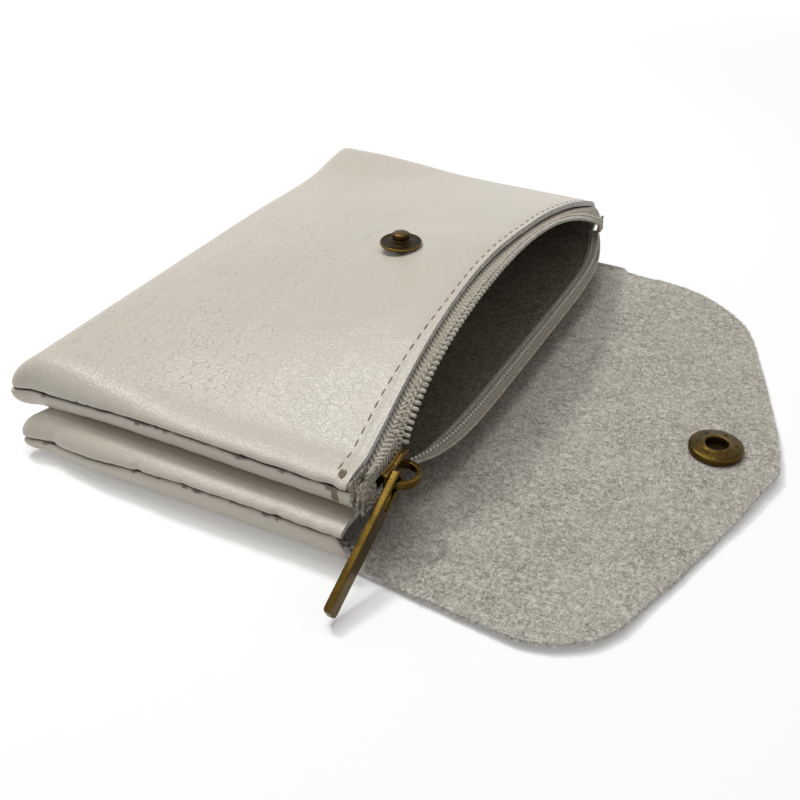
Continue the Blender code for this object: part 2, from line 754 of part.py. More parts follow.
def zip_pull(group, finish):
    """Flat bar with a slot that hangs on the crown's near arm, its tip just over the table."""
    eye_wall = (PULL_WIDTH - PULL_SLOT_WIDTH) / 2
    outline = rounded_rectangle(-PULL_EYE_END, PULL_REACH, PULL_WIDTH / 2, PULL_CORNER)
    slot = rounded_rectangle(eye_wall - PULL_EYE_END, PULL_SLOT_REACH, PULL_SLOT_WIDTH / 2, PULL_CORNER)
    curve = bpy.data.curves.new("zip_pull", "CURVE")
    curve.dimensions = "2D"
    curve.fill_mode = "BOTH"
    curve.extrude = PULL_THICKNESS / 2
    for points in (outline, slot):
        spline = curve.splines.new("POLY")
        spline.use_cyclic_u = True
        spline.points.add(len(points) - 1)
        for point, place in zip(spline.points, points):
            point.co = (*place, 0.0, 1.0)
    item = add_object("zip_pull", curve, group, finish)
    cos, sin = math.cos(PULL_DROOP), math.sin(PULL_DROOP)
    turn = Matrix(((0.0, 0.0, 1.0), (-cos, sin, 0.0), (-sin, -cos, 0.0)))
    item.rotation_euler = turn.to_euler()
    item.location = (PULL_X, SLIDER_Y - CROWN_RADIUS, ZIP_SEAM_HEIGHT)
    return item


def hang_on_axis(name, point, group, items):
    """Puts the pieces that turn together under an empty on their hinge's axis."""
    hinge = bpy.data.objects.new(name, None)
    group.objects.link(hinge)
    hinge.location = point
    for item in items:
        item.parent = hinge
        item.matrix_parent_inverse = Matrix.Translation(-Vector(point))


def build():
    clear_scene()
    group = new_collection("coin_pouch")
    cutters = new_collection("cutters")
    leather = finish_material("pebbled_leather", (0.78, 0.74, 0.68), 0.5, 0.0)
    suede = finish_material("flap_leather", (0.50, 0.47, 0.43), 0.9, 0.0)
    tape = finish_material("zip_tape", (0.62, 0.59, 0.52), 0.85, 0.0)
    teeth = finish_material("zip_teeth", (0.66, 0.63, 0.56), 0.45, 0.0)
    brass = finish_material("antique_brass", (0.30, 0.20, 0.07), 0.35, 1.0)
    back_panel(group, leather)
    card_pocket_panel(group, leather)
    zip_pocket_back(group, leather)
    front_panel(group, cutters, leather)
    bend = flap_bend(group, suede)
    hang_on_axis("back_fold_axis", (FOLD_X, FOLD_Y, FOLD_AXIS_HEIGHT), group, [bend])
    snap_stud(group, brass)
    stud_post(group, brass)
    turning = [
        flap(group, cutters, suede), snap_socket(group, brass),
        socket_spring(group, brass), snap_cap(group, brass),
    ]
    hang_on_axis("front_fold_axis", (*flap_point(BEND_HEIGHT, 0.0), FOLD_AXIS_HEIGHT), group, turning)
    zip_tape("zip_tape_front", True, group, tape)
    zip_tape("zip_tape_back", False, group, tape)
    zip_teeth("zip_teeth_front", True, group, teeth)
    zip_teeth("zip_teeth_back", False, group, teeth)
    near_end = SLIDER_Y - SLIDER_LENGTH / 2 - SEAT_GAP
    tape_end("tape_end_near", near_end - TAPE_END_LENGTH, near_end, group, tape)
    far_end = ZIP_END_Y + 2 * SEAT_GAP
    tape_end("tape_end_far", far_end, far_end + TAPE_END_LENGTH, group, tape)
    zip_slider(group, cutters, brass)
    slider_crown(group, brass)
    pull = zip_pull(group, brass)
    hang_on_axis("pull_axis", (PULL_X, SLIDER_Y, ZIP_SEAM_HEIGHT), group, [pull])


build()
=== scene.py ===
"""Leather coin pouch, zip and flap open, lying on its back on a pale table."""

import math
import random

import bpy
from mathutils import Matrix, Vector, noise


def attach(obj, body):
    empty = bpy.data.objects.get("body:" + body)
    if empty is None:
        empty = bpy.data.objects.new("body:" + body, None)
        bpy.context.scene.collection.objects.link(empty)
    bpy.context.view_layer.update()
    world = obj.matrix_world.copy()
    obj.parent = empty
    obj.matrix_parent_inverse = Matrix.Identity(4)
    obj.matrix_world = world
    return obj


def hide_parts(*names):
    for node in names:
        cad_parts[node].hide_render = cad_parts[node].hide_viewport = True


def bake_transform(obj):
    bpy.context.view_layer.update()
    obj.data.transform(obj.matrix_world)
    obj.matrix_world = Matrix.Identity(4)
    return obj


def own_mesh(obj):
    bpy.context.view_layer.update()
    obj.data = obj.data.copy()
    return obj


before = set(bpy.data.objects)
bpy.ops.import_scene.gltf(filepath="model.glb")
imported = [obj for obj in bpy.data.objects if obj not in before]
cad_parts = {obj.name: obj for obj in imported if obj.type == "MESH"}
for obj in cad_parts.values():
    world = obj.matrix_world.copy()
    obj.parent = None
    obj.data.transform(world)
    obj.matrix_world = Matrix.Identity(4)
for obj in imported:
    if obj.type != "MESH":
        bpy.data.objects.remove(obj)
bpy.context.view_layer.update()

# Front of the zip pouch: off-white cowhide 1.2 mm thick, with a satin pebbled grain outside, raw
# suede inside and a fuzzy bluish cut edge. It is sewn on three sides and turned, so its edge rolls
# over the seam, and the mouth side arches up where the zip gapes. The closing flap presses it flat.
MM = 0.001
LEATHER = 1.2 * MM
MOUTH_X = 38.0 * MM
ZIP_BOTTOM_X = -39.5 * MM
HALF_ZIP = 65.0 * MM
ZIP_SEAM = 13.6 * MM
SEAM_GAP = 0.09 * MM
SEAM_SINK = 0.2 * MM
SEAM_CLIMB = 1.6 * MM
SEAM_CLIMB_LENGTH = 36.0 * MM
ROLL_WIDTH = 5.0 * MM
CORNER_RADIUS = 2.6 * MM
CORNER_PUSH = 1.4 * MM
LIP_RADIUS = 0.8 * MM
LIP_TURN = math.radians(75.0)
LIP_HEIGHT = LIP_RADIUS * math.sin(LIP_TURN)
FRONT_ROLL_HEIGHT = 3.6 * MM
FRONT_CROWN = 13.4 * MM
NEAR_ARCH_END = 58.0 * MM
FAR_ARCH_END = 62.0 * MM
ARCH_DRAW = 2.5 * MM
PUFF_HEIGHT = 2.7 * MM
BOTTOM_PUFF_LENGTH = 46.0 * MM
FAR_PUFF_START = 8.0 * MM
FAR_PUFF_LENGTH = 48.0 * MM
FAR_PUFF_SHARE = 0.9
CORNER_SWELL = 1.9 * MM
CORNER_SWELL_X = (5.0 * MM, -27.0 * MM)
CORNER_SWELL_Y = (46.0 * MM, 60.0 * MM)
SLACK_DEPTH = 0.9 * MM
SLACK_Y = 40.0 * MM
SLACK_SPREAD = 15.0 * MM
TUCK_SPACING = 3.4 * MM
FRONT_TUCK = 1.1 * MM
BROAD_SWELL = 0.40 * MM
SMALL_SWELL = 0.12 * MM
SEAM_FADE = 4.0 * MM
NICK_SPACING = 1.5 * MM
NICK_LEVELS = (0.22, 0.47)
NICK_STEPS = 2.2
SLIT_WAVE = 3.2 * MM
SLIT_STEPS = 0.1
SLIT_FADE_STEPS = 1.4
SLIT_SHADE_DARKNESS = 0.85
STITCH_SETBACK = 2.2 * MM
STITCH_GROOVE = 0.20 * MM
STUD_DENT = 0.35 * MM
STUD_PLACE = (13.9 * MM, 0.0)
LIP_STEPS = 4
ROLL_STEPS = 15
COLUMNS = 216
ROWS = 124
PEBBLES_PER_METRE = 1300.0
PLATES_PER_METRE = 470.0
FOLDS_PER_METRE = 430.0
TICKS_PER_METRE = 1700.0
CREASED_X = (0.026, -0.006)
CREASED_Y = (0.050, 0.004)
OFF_ROLL_Y = (-0.0630, -0.0570)
ON_ROLL_Y = (-0.0560, -0.0605)
ON_TOP_Z = (0.0150, 0.0175)
GRAIN_WARM = (0.625, 0.562, 0.478)
GRAIN_COOL = (0.600, 0.560, 0.468)
GRAIN_TICK = (0.72, 0.69, 0.61)
CREASE_SHADE_COLOUR = (0.30, 0.255, 0.195)
SEAM_SHADE_COLOUR = (0.085, 0.062, 0.044)
# Painted shade: darker copies of the suede colours for the inside of the pouches.
SHADED_LINING_LIGHT = (0.270, 0.240, 0.180)
SHADED_LINING_DARK = (0.085, 0.070, 0.048)
CUT_LIGHT = (0.86, 0.85, 0.84)
CUT_DARK = (0.48, 0.47, 0.47)


def connect(tree, value, socket):
    """Links a socket to another one, or gives it a plain value."""
    if isinstance(value, bpy.types.NodeSocket):
        tree.links.new(value, socket)
    else:
        socket.default_value = value


def maths(tree, operation, *values):
    made = tree.nodes.new("ShaderNodeMath")
    made.operation = operation
    for value, socket in zip(values, made.inputs):
        connect(tree, value, socket)
    return made.outputs[0]


def soft_step(tree, value, low, high):
    """0 below low and 1 above high, with a smooth rise between them, or the other way round."""
    made = tree.nodes.new("ShaderNodeMapRange")
    made.interpolation_type = "SMOOTHSTEP"
    connect(tree, value, made.inputs["Value"])
    made.inputs["From Min"].default_value = min(low, high)
    made.inputs["From Max"].default_value = max(low, high)
    made.inputs["To Min"].default_value = 0.0 if low < high else 1.0
    made.inputs["To Max"].default_value = 1.0 if low < high else 0.0
    return made.outputs[0]


def mixed_colour(tree, share, first, second):
    made = tree.nodes.new("ShaderNodeMix")
    made.data_type = "RGBA"
    connect(tree, share, made.inputs[0])
    for colour, socket in ((first, made.inputs[6]), (second, made.inputs[7])):
        connect(tree, (*colour, 1.0) if isinstance(colour, tuple) else colour, socket)
    return made.outputs[2]


def noise_field(tree, vector, scale, detail=3.0, roughness=0.55, output="Fac"):
    made = tree.nodes.new("ShaderNodeTexNoise")
    connect(tree, vector, made.inputs["Vector"])
    made.inputs["Scale"].default_value = scale
    made.inputs["Detail"].default_value = detail
    made.inputs["Roughness"].default_value = roughness
    return made.outputs[output]


def cell_walls(tree, vector, scale):
    """Distance from the walls of a cell pattern."""
    made = tree.nodes.new("ShaderNodeTexVoronoi")
    made.feature = "DISTANCE_TO_EDGE"
    connect(tree, vector, made.inputs["Vector"])
    made.inputs["Scale"].default_value = scale
    return made.outputs["Distance"]


def stretched(tree, vector, scale, turn=0.0):
    made = tree.nodes.new("ShaderNodeMapping")
    connect(tree, vector, made.inputs["Vector"])
    made.inputs["Rotation"].default_value = (0.0, 0.0, turn)
    made.inputs["Scale"].default_value = scale
    return made.outputs[0]


def warped(tree, vector, scale, amount):
    """Moves the points of a pattern about by a coarse noise, so that it isn't regular."""
    shift = noise_field(tree, vector, scale, 2.0, 0.5, "Color")
    made = tree.nodes.new("ShaderNodeVectorMath")
    made.operation = "MULTIPLY_ADD"
    connect(tree, shift, made.inputs[0])
    made.inputs[1].default_value = (amount, amount, amount)
    connect(tree, vector, made.inputs[2])
    return made.outputs[0]


def attribute_value(tree, name):
    made = tree.nodes.new("ShaderNodeAttribute")
    made.attribute_name = name
    return made.outputs["Fac"]


def new_group(name, outputs, values=()):
    """A node group that takes a place and some values, with its sockets for what goes in and out."""
    group = bpy.data.node_groups.new(name, "ShaderNodeTree")
    group.interface.new_socket("Vector", in_out="INPUT", socket_type="NodeSocketVector")
    for label in values:
        group.interface.new_socket(label, in_out="INPUT", socket_type="NodeSocketFloat")
    for label in outputs:
        group.interface.new_socket(label, in_out="OUTPUT", socket_type="NodeSocketFloat")
    given = group.nodes.new("NodeGroupInput").outputs
    return group, given, group.nodes.new("NodeGroupOutput").inputs


def hide_grain_group():
    """Pebbles and soft plates of the grain side, its short creases and its broad change of tone."""
    group, given, end = new_group("hide_grain", ["Relief", "Crease", "Tone", "Tick"])
    vector = given["Vector"]
    loose = warped(group, vector, 520.0, 0.0010)
    pebble = soft_step(group, cell_walls(group, loose, PEBBLES_PER_METRE), 0.0, 0.22)
    plate = soft_step(group, cell_walls(group, loose, PLATES_PER_METRE), 0.0, 0.12)
    bent = warped(group, vector, 240.0, 0.0030)
    drawn_out = stretched(group, bent, (1.0, 0.24, 1.0), 0.12)
    fold = noise_field(group, drawn_out, FOLDS_PER_METRE, 2.0, 0.45)
    off_fold = maths(group, "ABSOLUTE", maths(group, "SUBTRACT", fold, 0.5))
    line = soft_step(group, off_fold, 0.020, 0.0)
    broken = soft_step(group, noise_field(group, vector, 1250.0, 2.0), 0.44, 0.60)
    crease = maths(group, "MULTIPLY", line, broken)
    height = maths(group, "MULTIPLY_ADD", pebble, 0.26, maths(group, "MULTIPLY", plate, 0.30))
    fine = maths(group, "MULTIPLY", noise_field(group, vector, 3400.0, 2.0), 0.12)
    ticks = noise_field(group, stretched(group, vector, (1.0, 0.30, 0.30)), TICKS_PER_METRE, 1.0)
    connect(group, maths(group, "ADD", height, fine), end["Relief"])
    connect(group, crease, end["Crease"])
    connect(group, noise_field(group, vector, 60.0, 3.0), end["Tone"])
    connect(group, soft_step(group, ticks, 0.58, 0.72), end["Tick"])
    return group


def nap_group():
    """Brushed fibres of a suede side: short fine streaks, clumps and broad patches."""
    group, given, end = new_group("suede_nap", ["Relief", "Shade", "Patch"])
    vector = given["Vector"]
    bent = warped(group, vector, 460.0, 0.0022)
    streak = noise_field(group, stretched(group, bent, (1.0, 0.30, 1.0), 0.55), 2700.0, 2.0, 0.6)
    other = noise_field(group, stretched(group, bent, (0.34, 1.0, 1.0), 0.30), 1900.0, 2.0, 0.6)
    clump = noise_field(group, bent, 700.0, 3.0, 0.6)
    shade = maths(group, "MULTIPLY", streak, 0.44)
    shade = maths(group, "ADD", shade, maths(group, "MULTIPLY", other, 0.34))
    shade = maths(group, "ADD", shade, maths(group, "MULTIPLY", clump, 0.22))
    connect(group, shade, end["Relief"])
    connect(group, soft_step(group, shade, 0.38, 0.62), end["Shade"])
    broad = noise_field(group, vector, 70.0, 3.0)
    connect(group, soft_step(group, broad, 0.35, 0.68), end["Patch"])
    return group


hide_grain = hide_grain_group()
suede_nap = nap_group()


def new_material(name, roughness):
    made = bpy.data.materials.new(name)
    made.use_nodes = True
    tree = made.node_tree
    shader = tree.nodes["Principled BSDF"]
    shader.inputs["Roughness"].default_value = roughness
    place = tree.nodes.new("ShaderNodeTexCoord").outputs["Object"]
    return made, tree, shader, place


def placed_group(tree, group, vector, values=()):
    """The outputs of a group that is placed in a material, with its own place and values."""
    made = tree.nodes.new("ShaderNodeGroup")
    made.node_tree = group
    for value, socket in zip((vector, *values), made.inputs):
        connect(tree, value, socket)
    return made.outputs


def relief(tree, shader, height, distance, strength=1.0):
    """Gives a material a relief of so many metres."""
    made = tree.nodes.new("ShaderNodeBump")
    made.inputs["Distance"].default_value = distance
    made.inputs["Strength"].default_value = strength
    connect(tree, height, made.inputs["Height"])
    connect(tree, made.outputs["Normal"], shader.inputs["Normal"])


def grain_material():
    """Grain side: creased where x is low and y is near, ticked on the near roll; painted shade in the
    creases, painted shade and dirt in the seam.
    """
    made, tree, shader, place = new_material("pebbled_grain", 0.42)
    grain_side = placed_group(tree, hide_grain, place)
    axes = tree.nodes.new("ShaderNodeSeparateXYZ")
    connect(tree, place, axes.inputs[0])
    low_x = soft_step(tree, axes.outputs["X"], *CREASED_X)
    near = soft_step(tree, axes.outputs["Y"], *CREASED_Y)
    off_roll = soft_step(tree, axes.outputs["Y"], *OFF_ROLL_Y)
    on_top = soft_step(tree, axes.outputs["Z"], *ON_TOP_Z)
    creased = maths(tree, "MULTIPLY", maths(tree, "MULTIPLY", low_x, near), on_top)
    creased = maths(tree, "MULTIPLY", creased, off_roll)
    crease = maths(tree, "MULTIPLY", grain_side["Crease"], creased)
    near_roll = maths(tree, "MULTIPLY", soft_step(tree, axes.outputs["Y"], *ON_ROLL_Y), on_top)
    tick = maths(tree, "MULTIPLY", grain_side["Tick"], near_roll)
    base = mixed_colour(tree, soft_step(tree, grain_side["Tone"], 0.38, 0.62), GRAIN_COOL, GRAIN_WARM)
    base = mixed_colour(tree, maths(tree, "MULTIPLY", tick, 0.50), base, GRAIN_TICK)
    # Painted shade: the creases are darkened towards a brown as if shade lay in their grooves.
    base = mixed_colour(tree, maths(tree, "MULTIPLY", crease, 0.32), base, CREASE_SHADE_COLOUR)
    # Painted shade with some dirt: the seam slit darkens towards a deep brown where the seam attribute is
    # high.
    base = mixed_colour(tree, attribute_value(tree, "seam"), base, SEAM_SHADE_COLOUR)
    connect(tree, base, shader.inputs["Base Color"])
    connect(tree, maths(tree, "MULTIPLY_ADD", grain_side["Tone"], 0.12, 0.30), shader.inputs["Roughness"])
    height = maths(tree, "SUBTRACT", grain_side["Relief"], maths(tree, "MULTIPLY", crease, 0.9))
    relief(tree, shader, height, 0.00010, 0.8)
    return made


def suede_material(name, light, dark, depth):
    """Suede or a cut edge: its brushed streaks between two colours, lighter in worn patches."""
    made, tree, shader, place = new_material(name, 0.94)
    nap = placed_group(tree, suede_nap, place)
    shade = mixed_colour(tree, nap["Shade"], dark, light)
    worn = mixed_colour(tree, maths(tree, "MULTIPLY", nap["Patch"], 0.24), shade, light)
    connect(tree, worn, shader.inputs["Base Color"])
    shader.inputs["Specular IOR Level"].default_value = 0.15
    relief(tree, shader, nap["Relief"], depth)
    return made


grain = grain_material()
# Painted shade: the suede inside the pouches is the same flesh side as on the flap, given much darker
# colours as if in shade.
shaded_lining = suede_material("lining_suede_painted_shade", SHADED_LINING_LIGHT, SHADED_LINING_DARK, 0.0004)
cut_edge = suede_material("cut_leather_edge", CUT_LIGHT, CUT_DARK, 0.0005)


def smoothstep(value):
    share = min(1.0, max(0.0, value))
    return share * share * (3.0 - 2.0 * share)


def between(value, start, end):
    """0 up to the start and 1 from the end on, with a smooth rise between them."""
    return smoothstep((value - start) / (end - start))


def arch(y):
    """Height of the gaping mouth across the pouch, 0 at its ends and 1 in the middle."""
    return max(0.0, 1.0 - (y / (NEAR_ARCH_END if y < 0 else FAR_ARCH_END)) ** 2) ** 1.15


def front_mouth(y):
    return MOUTH_X - ARCH_DRAW * arch(y)


def puff(x, y):
    """The front is fuller at the bottom and the far side, most in their corner, and slack beside it."""
    bottom = 1.0 - smoothstep((x - ZIP_BOTTOM_X) / BOTTOM_PUFF_LENGTH)
    far = FAR_PUFF_SHARE * smoothstep((y - FAR_PUFF_START) / FAR_PUFF_LENGTH)
    corner = between(x, *CORNER_SWELL_X) * between(y, *CORNER_SWELL_Y)
    slack = bottom * math.exp(-(((y - SLACK_Y) / SLACK_SPREAD) ** 2))
    full = PUFF_HEIGHT * (1.0 - (1.0 - bottom) * (1.0 - far))
    return full + CORNER_SWELL * corner - SLACK_DEPTH * slack


def zip_seam_height(x):
    """The seam rides up from the bottom corners towards the mouth."""
    return ZIP_SEAM - SEAM_SINK + SEAM_CLIMB * smoothstep((x - ZIP_BOTTOM_X) / SEAM_CLIMB_LENGTH)


def front_height(x, y):
    """Height of the front leather's top between its turned edges."""
    length = MOUTH_X - ZIP_BOTTOM_X - ROLL_WIDTH
    left = min(1.0, max(0.0, (MOUTH_X - x) / length))
    crown = FRONT_CROWN * (1.0 - left ** 1.5) * arch(y)
    return ZIP_SEAM + SEAM_GAP + FRONT_ROLL_HEIGHT + crown + puff(x, y)


def lip_profile(ring):
    """Inset, height on the lip and share of the roll's height, from the seam to the roll's top."""
    if ring < LIP_STEPS:
        angle = -LIP_TURN * (1.0 - ring / LIP_STEPS)
        return LIP_RADIUS * (1.0 - math.cos(angle)), LIP_RADIUS * math.sin(angle) + LIP_HEIGHT, 0.0
    angle = math.pi / 2 * (ring - LIP_STEPS) / (ROLL_STEPS - LIP_STEPS)
    return ROLL_WIDTH * (1.0 - math.cos(angle)), LIP_HEIGHT, math.sin(angle)


def corner_offsets(inset, share):
    """Distances from the side and from the bottom, at a share of the way round a corner."""
    radius = max(0.0, CORNER_RADIUS - inset)
    straight = ROLL_WIDTH - inset - radius
    length = 2 * straight + math.pi / 2 * radius
    at = share * length
    push = CORNER_PUSH * math.sin(math.pi * share) ** 2 * (1.0 - inset / ROLL_WIDTH)
    if at <= straight:
        return inset - push, ROLL_WIDTH - at - push
    if at >= length - straight:
        return ROLL_WIDTH - length + at - push, inset - push
    angle = (at - straight) / radius
    off_side = inset + radius * (1.0 - math.cos(angle)) - push
    return off_side, inset + radius * (1.0 - math.sin(angle)) - push


def turned_point(column, row, half_width, bottom_x, mouth):
    """Plan position of a turned panel's point, its height on the lip and share of the roll."""
    from_side = min(column, COLUMNS - column)
    side = -1.0 if column <= COLUMNS / 2 else 1.0
    inner = half_width - ROLL_WIDTH
    ring = min(from_side, row, ROLL_STEPS)
    inset, lip, share = lip_profile(ring)
    if from_side < ROLL_STEPS and row < ROLL_STEPS:
        if row >= from_side:
            way = 0.5 * (ROLL_STEPS - row) / (ROLL_STEPS - ring)
        else:
            way = 1.0 - 0.5 * (ROLL_STEPS - from_side) / (ROLL_STEPS - ring)
        off_side, off_bottom = corner_offsets(inset, way)
        return bottom_x + off_bottom, side * (half_width - off_side), lip, share
    along = (row - ROLL_STEPS) / (ROWS - ROLL_STEPS)
    start = bottom_x + ROLL_WIDTH
    if from_side < ROLL_STEPS:
        y = side * (half_width - inset)
        return start + (mouth(y) - start) * along, y, lip, share
    y = -inner + 2 * inner * (column - ROLL_STEPS) / (COLUMNS - 2 * ROLL_STEPS)
    if row < ROLL_STEPS:
        return bottom_x + inset, y, lip, share
    return start + (mouth(y) - start) * along, y, lip, share


def uneven(x, y, size, phase):
    """A smooth irregular rise and fall, between -1 and 1, with features of one size."""
    return noise.noise(Vector((x / size + phase, y / size - phase, phase)))


def new_primitive(add, **shape):
    """A primitive added on its own, with all that was selected before left alone."""
    bpy.ops.object.select_all(action="DESELECT")
    add(**shape)
    return bpy.context.object


def lay_sheet(name, columns, rows, place):
    """A fine grid laid in its place, column by column and row by row."""
    grid_add = bpy.ops.mesh.primitive_grid_add
    sheet = new_primitive(grid_add, x_subdivisions=columns, y_subdivisions=rows, size=2.0)
    sheet.name = name
    sheet.data.name = name
    for vert in sheet.data.vertices:
        column = round((vert.co.x + 1.0) / 2.0 * columns)
        row = round((vert.co.y + 1.0) / 2.0 * rows)
        vert.co = place(column, row)
    return sheet


def smoothed(sheet, columns, rows, margin, repeat):
    """Evens out the sheet inside its margin, as soft leather does."""
    for vert in sheet.data.vertices:
        row, column = divmod(vert.index, columns + 1)
        vert.select = margin < column < columns - margin and margin < row < rows
    bpy.ops.object.mode_set(mode="EDIT")
    bpy.ops.mesh.select_mode(type="VERT")
    bpy.ops.mesh.vertices_smooth(factor=0.5, repeat=repeat)
    bpy.ops.object.mode_set(mode="OBJECT")


def give_wall(sheet, thickness, finishes, facing_up):
    """Gives a sheet its thickness behind its outer face, with a finish for each face and the edge."""
    if facing_up:
        sheet.data.flip_normals()
    for finish in finishes:
        sheet.data.materials.append(finish)
    wall = sheet.modifiers.new("wall", "SOLIDIFY")
    wall.thickness = thickness
    wall.offset = -1.0
    wall.use_even_offset = True
    wall.material_offset = 1
    wall.material_offset_rim = 2
    bpy.ops.object.modifier_apply(modifier="wall")
    bpy.ops.object.shade_smooth_by_angle(angle=math.radians(50.0))


def leather_points(sheet):
    """Each point of a turned leather, with how many steps it lies from the sewn edge."""
    for vert in sheet.data.vertices:
        row, column = divmod(vert.index, COLUMNS + 1)
        yield vert, min(column, COLUMNS - column, row)


def mark_seam_shade(sheet, phase, seam_stop):
    """Marks the nicked slit along the seam, as far as the seam goes, for its painted shade and some dirt.
    """
    seam = sheet.data.attributes.new("seam", "FLOAT", "POINT")
    for (vert, ring), slit in zip(leather_points(sheet), seam.data):
        x, y = vert.co.x, vert.co.y
        level, full = NICK_LEVELS
        nick = max(0.0, uneven(x - y, 0.0, NICK_SPACING, phase) - level) / (full - level)
        reach = SLIT_STEPS + uneven(x, y, SLIT_WAVE, phase + 5.0) + NICK_STEPS * min(1.0, nick)
        sewn = smoothstep((seam_stop(y) - x) / SEAM_FADE)
        # How deep the painted shade and dirt of the slit are at this point.
        slit.value = SLIT_SHADE_DARKNESS * sewn * (1.0 - smoothstep((ring - reach) / SLIT_FADE_STEPS))


def front_point(column, row):
    x, y, lip, share = turned_point(column, row, HALF_ZIP, ZIP_BOTTOM_X, front_mouth)
    seam = zip_seam_height(x) + SEAM_GAP
    return x, y, seam + lip + (front_height(x, y) - seam - LIP_HEIGHT) * share


def gather(x, y, phase):
    """Narrow tucks along a seam, 1 in the middle of each."""
    return max(0.0, uneven(x - y, 0.0, TUCK_SPACING, phase) - 0.12) ** 1.5


def draw_in(vert, ring, depth, phase, wave=0.0):
    """Moves a point of the turned edge towards the pouch's middle, by its tucks and a wave."""
    x, y = vert.co.x, vert.co.y
    low = 1.0 - smoothstep((ring - 1) / (ROLL_STEPS * 0.8))
    inward = Vector((-(x - 5 * MM) / 40.0, -y / 60.0, 0.0)).normalized()
    vert.co += inward * (depth * low * gather(x, y, phase) + wave)


def work_front(sheet):
    """Tucks along the seam, the sunk stitch row, the dent under the stud and soft unevenness."""
    for vert, ring in leather_points(sheet):
        x, y = vert.co.x, vert.co.y
        draw_in(vert, ring, FRONT_TUCK, 0.4)
        inside = smoothstep((ring - ROLL_STEPS * 0.5) / ROLL_STEPS)
        swell = BROAD_SWELL * uneven(x, y, 19 * MM, 1.3) + SMALL_SWELL * uneven(x, y, 6 * MM, 7.1)
        vert.co.z += inside * swell
        from_row = front_mouth(y) - STITCH_SETBACK - x
        vert.co.z -= STITCH_GROOVE * math.exp(-((from_row / (0.7 * MM)) ** 2))
        from_stud = math.hypot(x - STUD_PLACE[0], y - STUD_PLACE[1])
        vert.co.z -= STUD_DENT * math.exp(-((from_stud / (6.0 * MM)) ** 4))


def fit_to_pouch(piece, slot_name, *nodes):
    """Carries a soft piece with the pouch, and hides the parts that it replaces."""
    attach(piece, "pouch")
    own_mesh(piece)
    if nodes:
        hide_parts(*nodes)


zip_front = lay_sheet("zip_front_leather", COLUMNS, ROWS, front_point)
smoothed(zip_front, COLUMNS, ROWS, ROLL_STEPS // 2, 16)
work_front(zip_front)
mark_seam_shade(zip_front, 1.9, front_mouth)
give_wall(zip_front, LEATHER, (grain, shaded_lining, cut_edge), True)
fit_to_pouch(zip_front, "pebbled_leather", "front_panel")

# Back of the zip pouch: the same leather, sewn to the front at the seam and turned. It lies on the
# card pouch and sinks a little between the turned edges, and its lip carries the lower zip tape.
BACK_ROLL_HEIGHT = 3.3 * MM
CARD_BOTTOM_X = -36.0 * MM
HALF_CARD = 66.5 * MM
CARD_PUFF = 9.5 * MM
CARD_SAG = 2.6 * MM
SAG_MARGIN = 8.0 * MM
SAG_SLOPE = 14.0 * MM
POUCH_SPACING = 0.6 * MM
ZIP_START = -49.6 * MM
ZIP_END = 60.0 * MM
BACK_LIP_REACH = 4.3 * MM
NEAR_FULL = 0.5 * MM
CORNER_FULL = 1.5 * MM
CORNER_LENGTH = 24.0 * MM
NEAR_BAND_START = 48.0 * MM
NEAR_BAND_LENGTH = 12.0 * MM
BAND_TUCK = 1.4 * MM
BAND_FADE_STEPS = 6.0


def pouch_sag(x, y):
    """0 at the turned edges and 1 where the zip pouch sinks into the card pouch between them."""
    across = smoothstep((HALF_CARD - abs(y) - SAG_MARGIN) / SAG_SLOPE)
    along = smoothstep((x - CARD_BOTTOM_X - SAG_MARGIN) / SAG_SLOPE)
    return across * along


def back_drop(y):
    """1 where the open mouth's back hangs down and 0 from the ends of the chain on."""
    half, power = (-ZIP_START, 5) if y < 0 else (ZIP_END, 7)
    return max(0.0, 1.0 - (abs(y) / half) ** power)


def back_mouth(y):
    return MOUTH_X + BACK_LIP_REACH * back_drop(y)


def zip_back_height(x, y):
    """Height of the back's underside, lowest along the near side and at its bottom corner."""
    rim = ZIP_SEAM - SEAM_GAP - BACK_ROLL_HEIGHT
    corner = 1.0 - smoothstep((x - ZIP_BOTTOM_X) / CORNER_LENGTH)
    near = smoothstep((-y - NEAR_BAND_START) / NEAR_BAND_LENGTH)
    full = (NEAR_FULL + CORNER_FULL * corner) * near
    return min(rim, CARD_PUFF + POUCH_SPACING) - CARD_SAG * pouch_sag(x, y) - full


def zip_back_point(column, row):
    x, y, lip, share = turned_point(column, row, HALF_ZIP, ZIP_BOTTOM_X, back_mouth)
    seam = zip_seam_height(x) - SEAM_GAP
    return x, y, seam - lip - (seam - zip_back_height(x, y) - LIP_HEIGHT) * share


def work_band(sheet, phase, wave):
    """Tucks and small swellings along a turned edge that is seen only from its side."""
    for vert, ring in leather_points(sheet):
        body = 1.0 - smoothstep((ring - ROLL_STEPS) / BAND_FADE_STEPS)
        swell = wave * body * uneven(vert.co.x - vert.co.y, 0.0, 2.3 * MM, phase + 3.0)
        draw_in(vert, ring, BAND_TUCK, phase, swell)


zip_back = lay_sheet("zip_back_leather", COLUMNS, ROWS, zip_back_point)
work_band(zip_back, 1.4, 0.16 * MM)
mark_seam_shade(zip_back, 3.4, back_mouth)
give_wall(zip_back, LEATHER, (grain, shaded_lining, cut_edge), False)
fit_to_pouch(zip_back, "pebbled_leather", "zip_pocket_back")

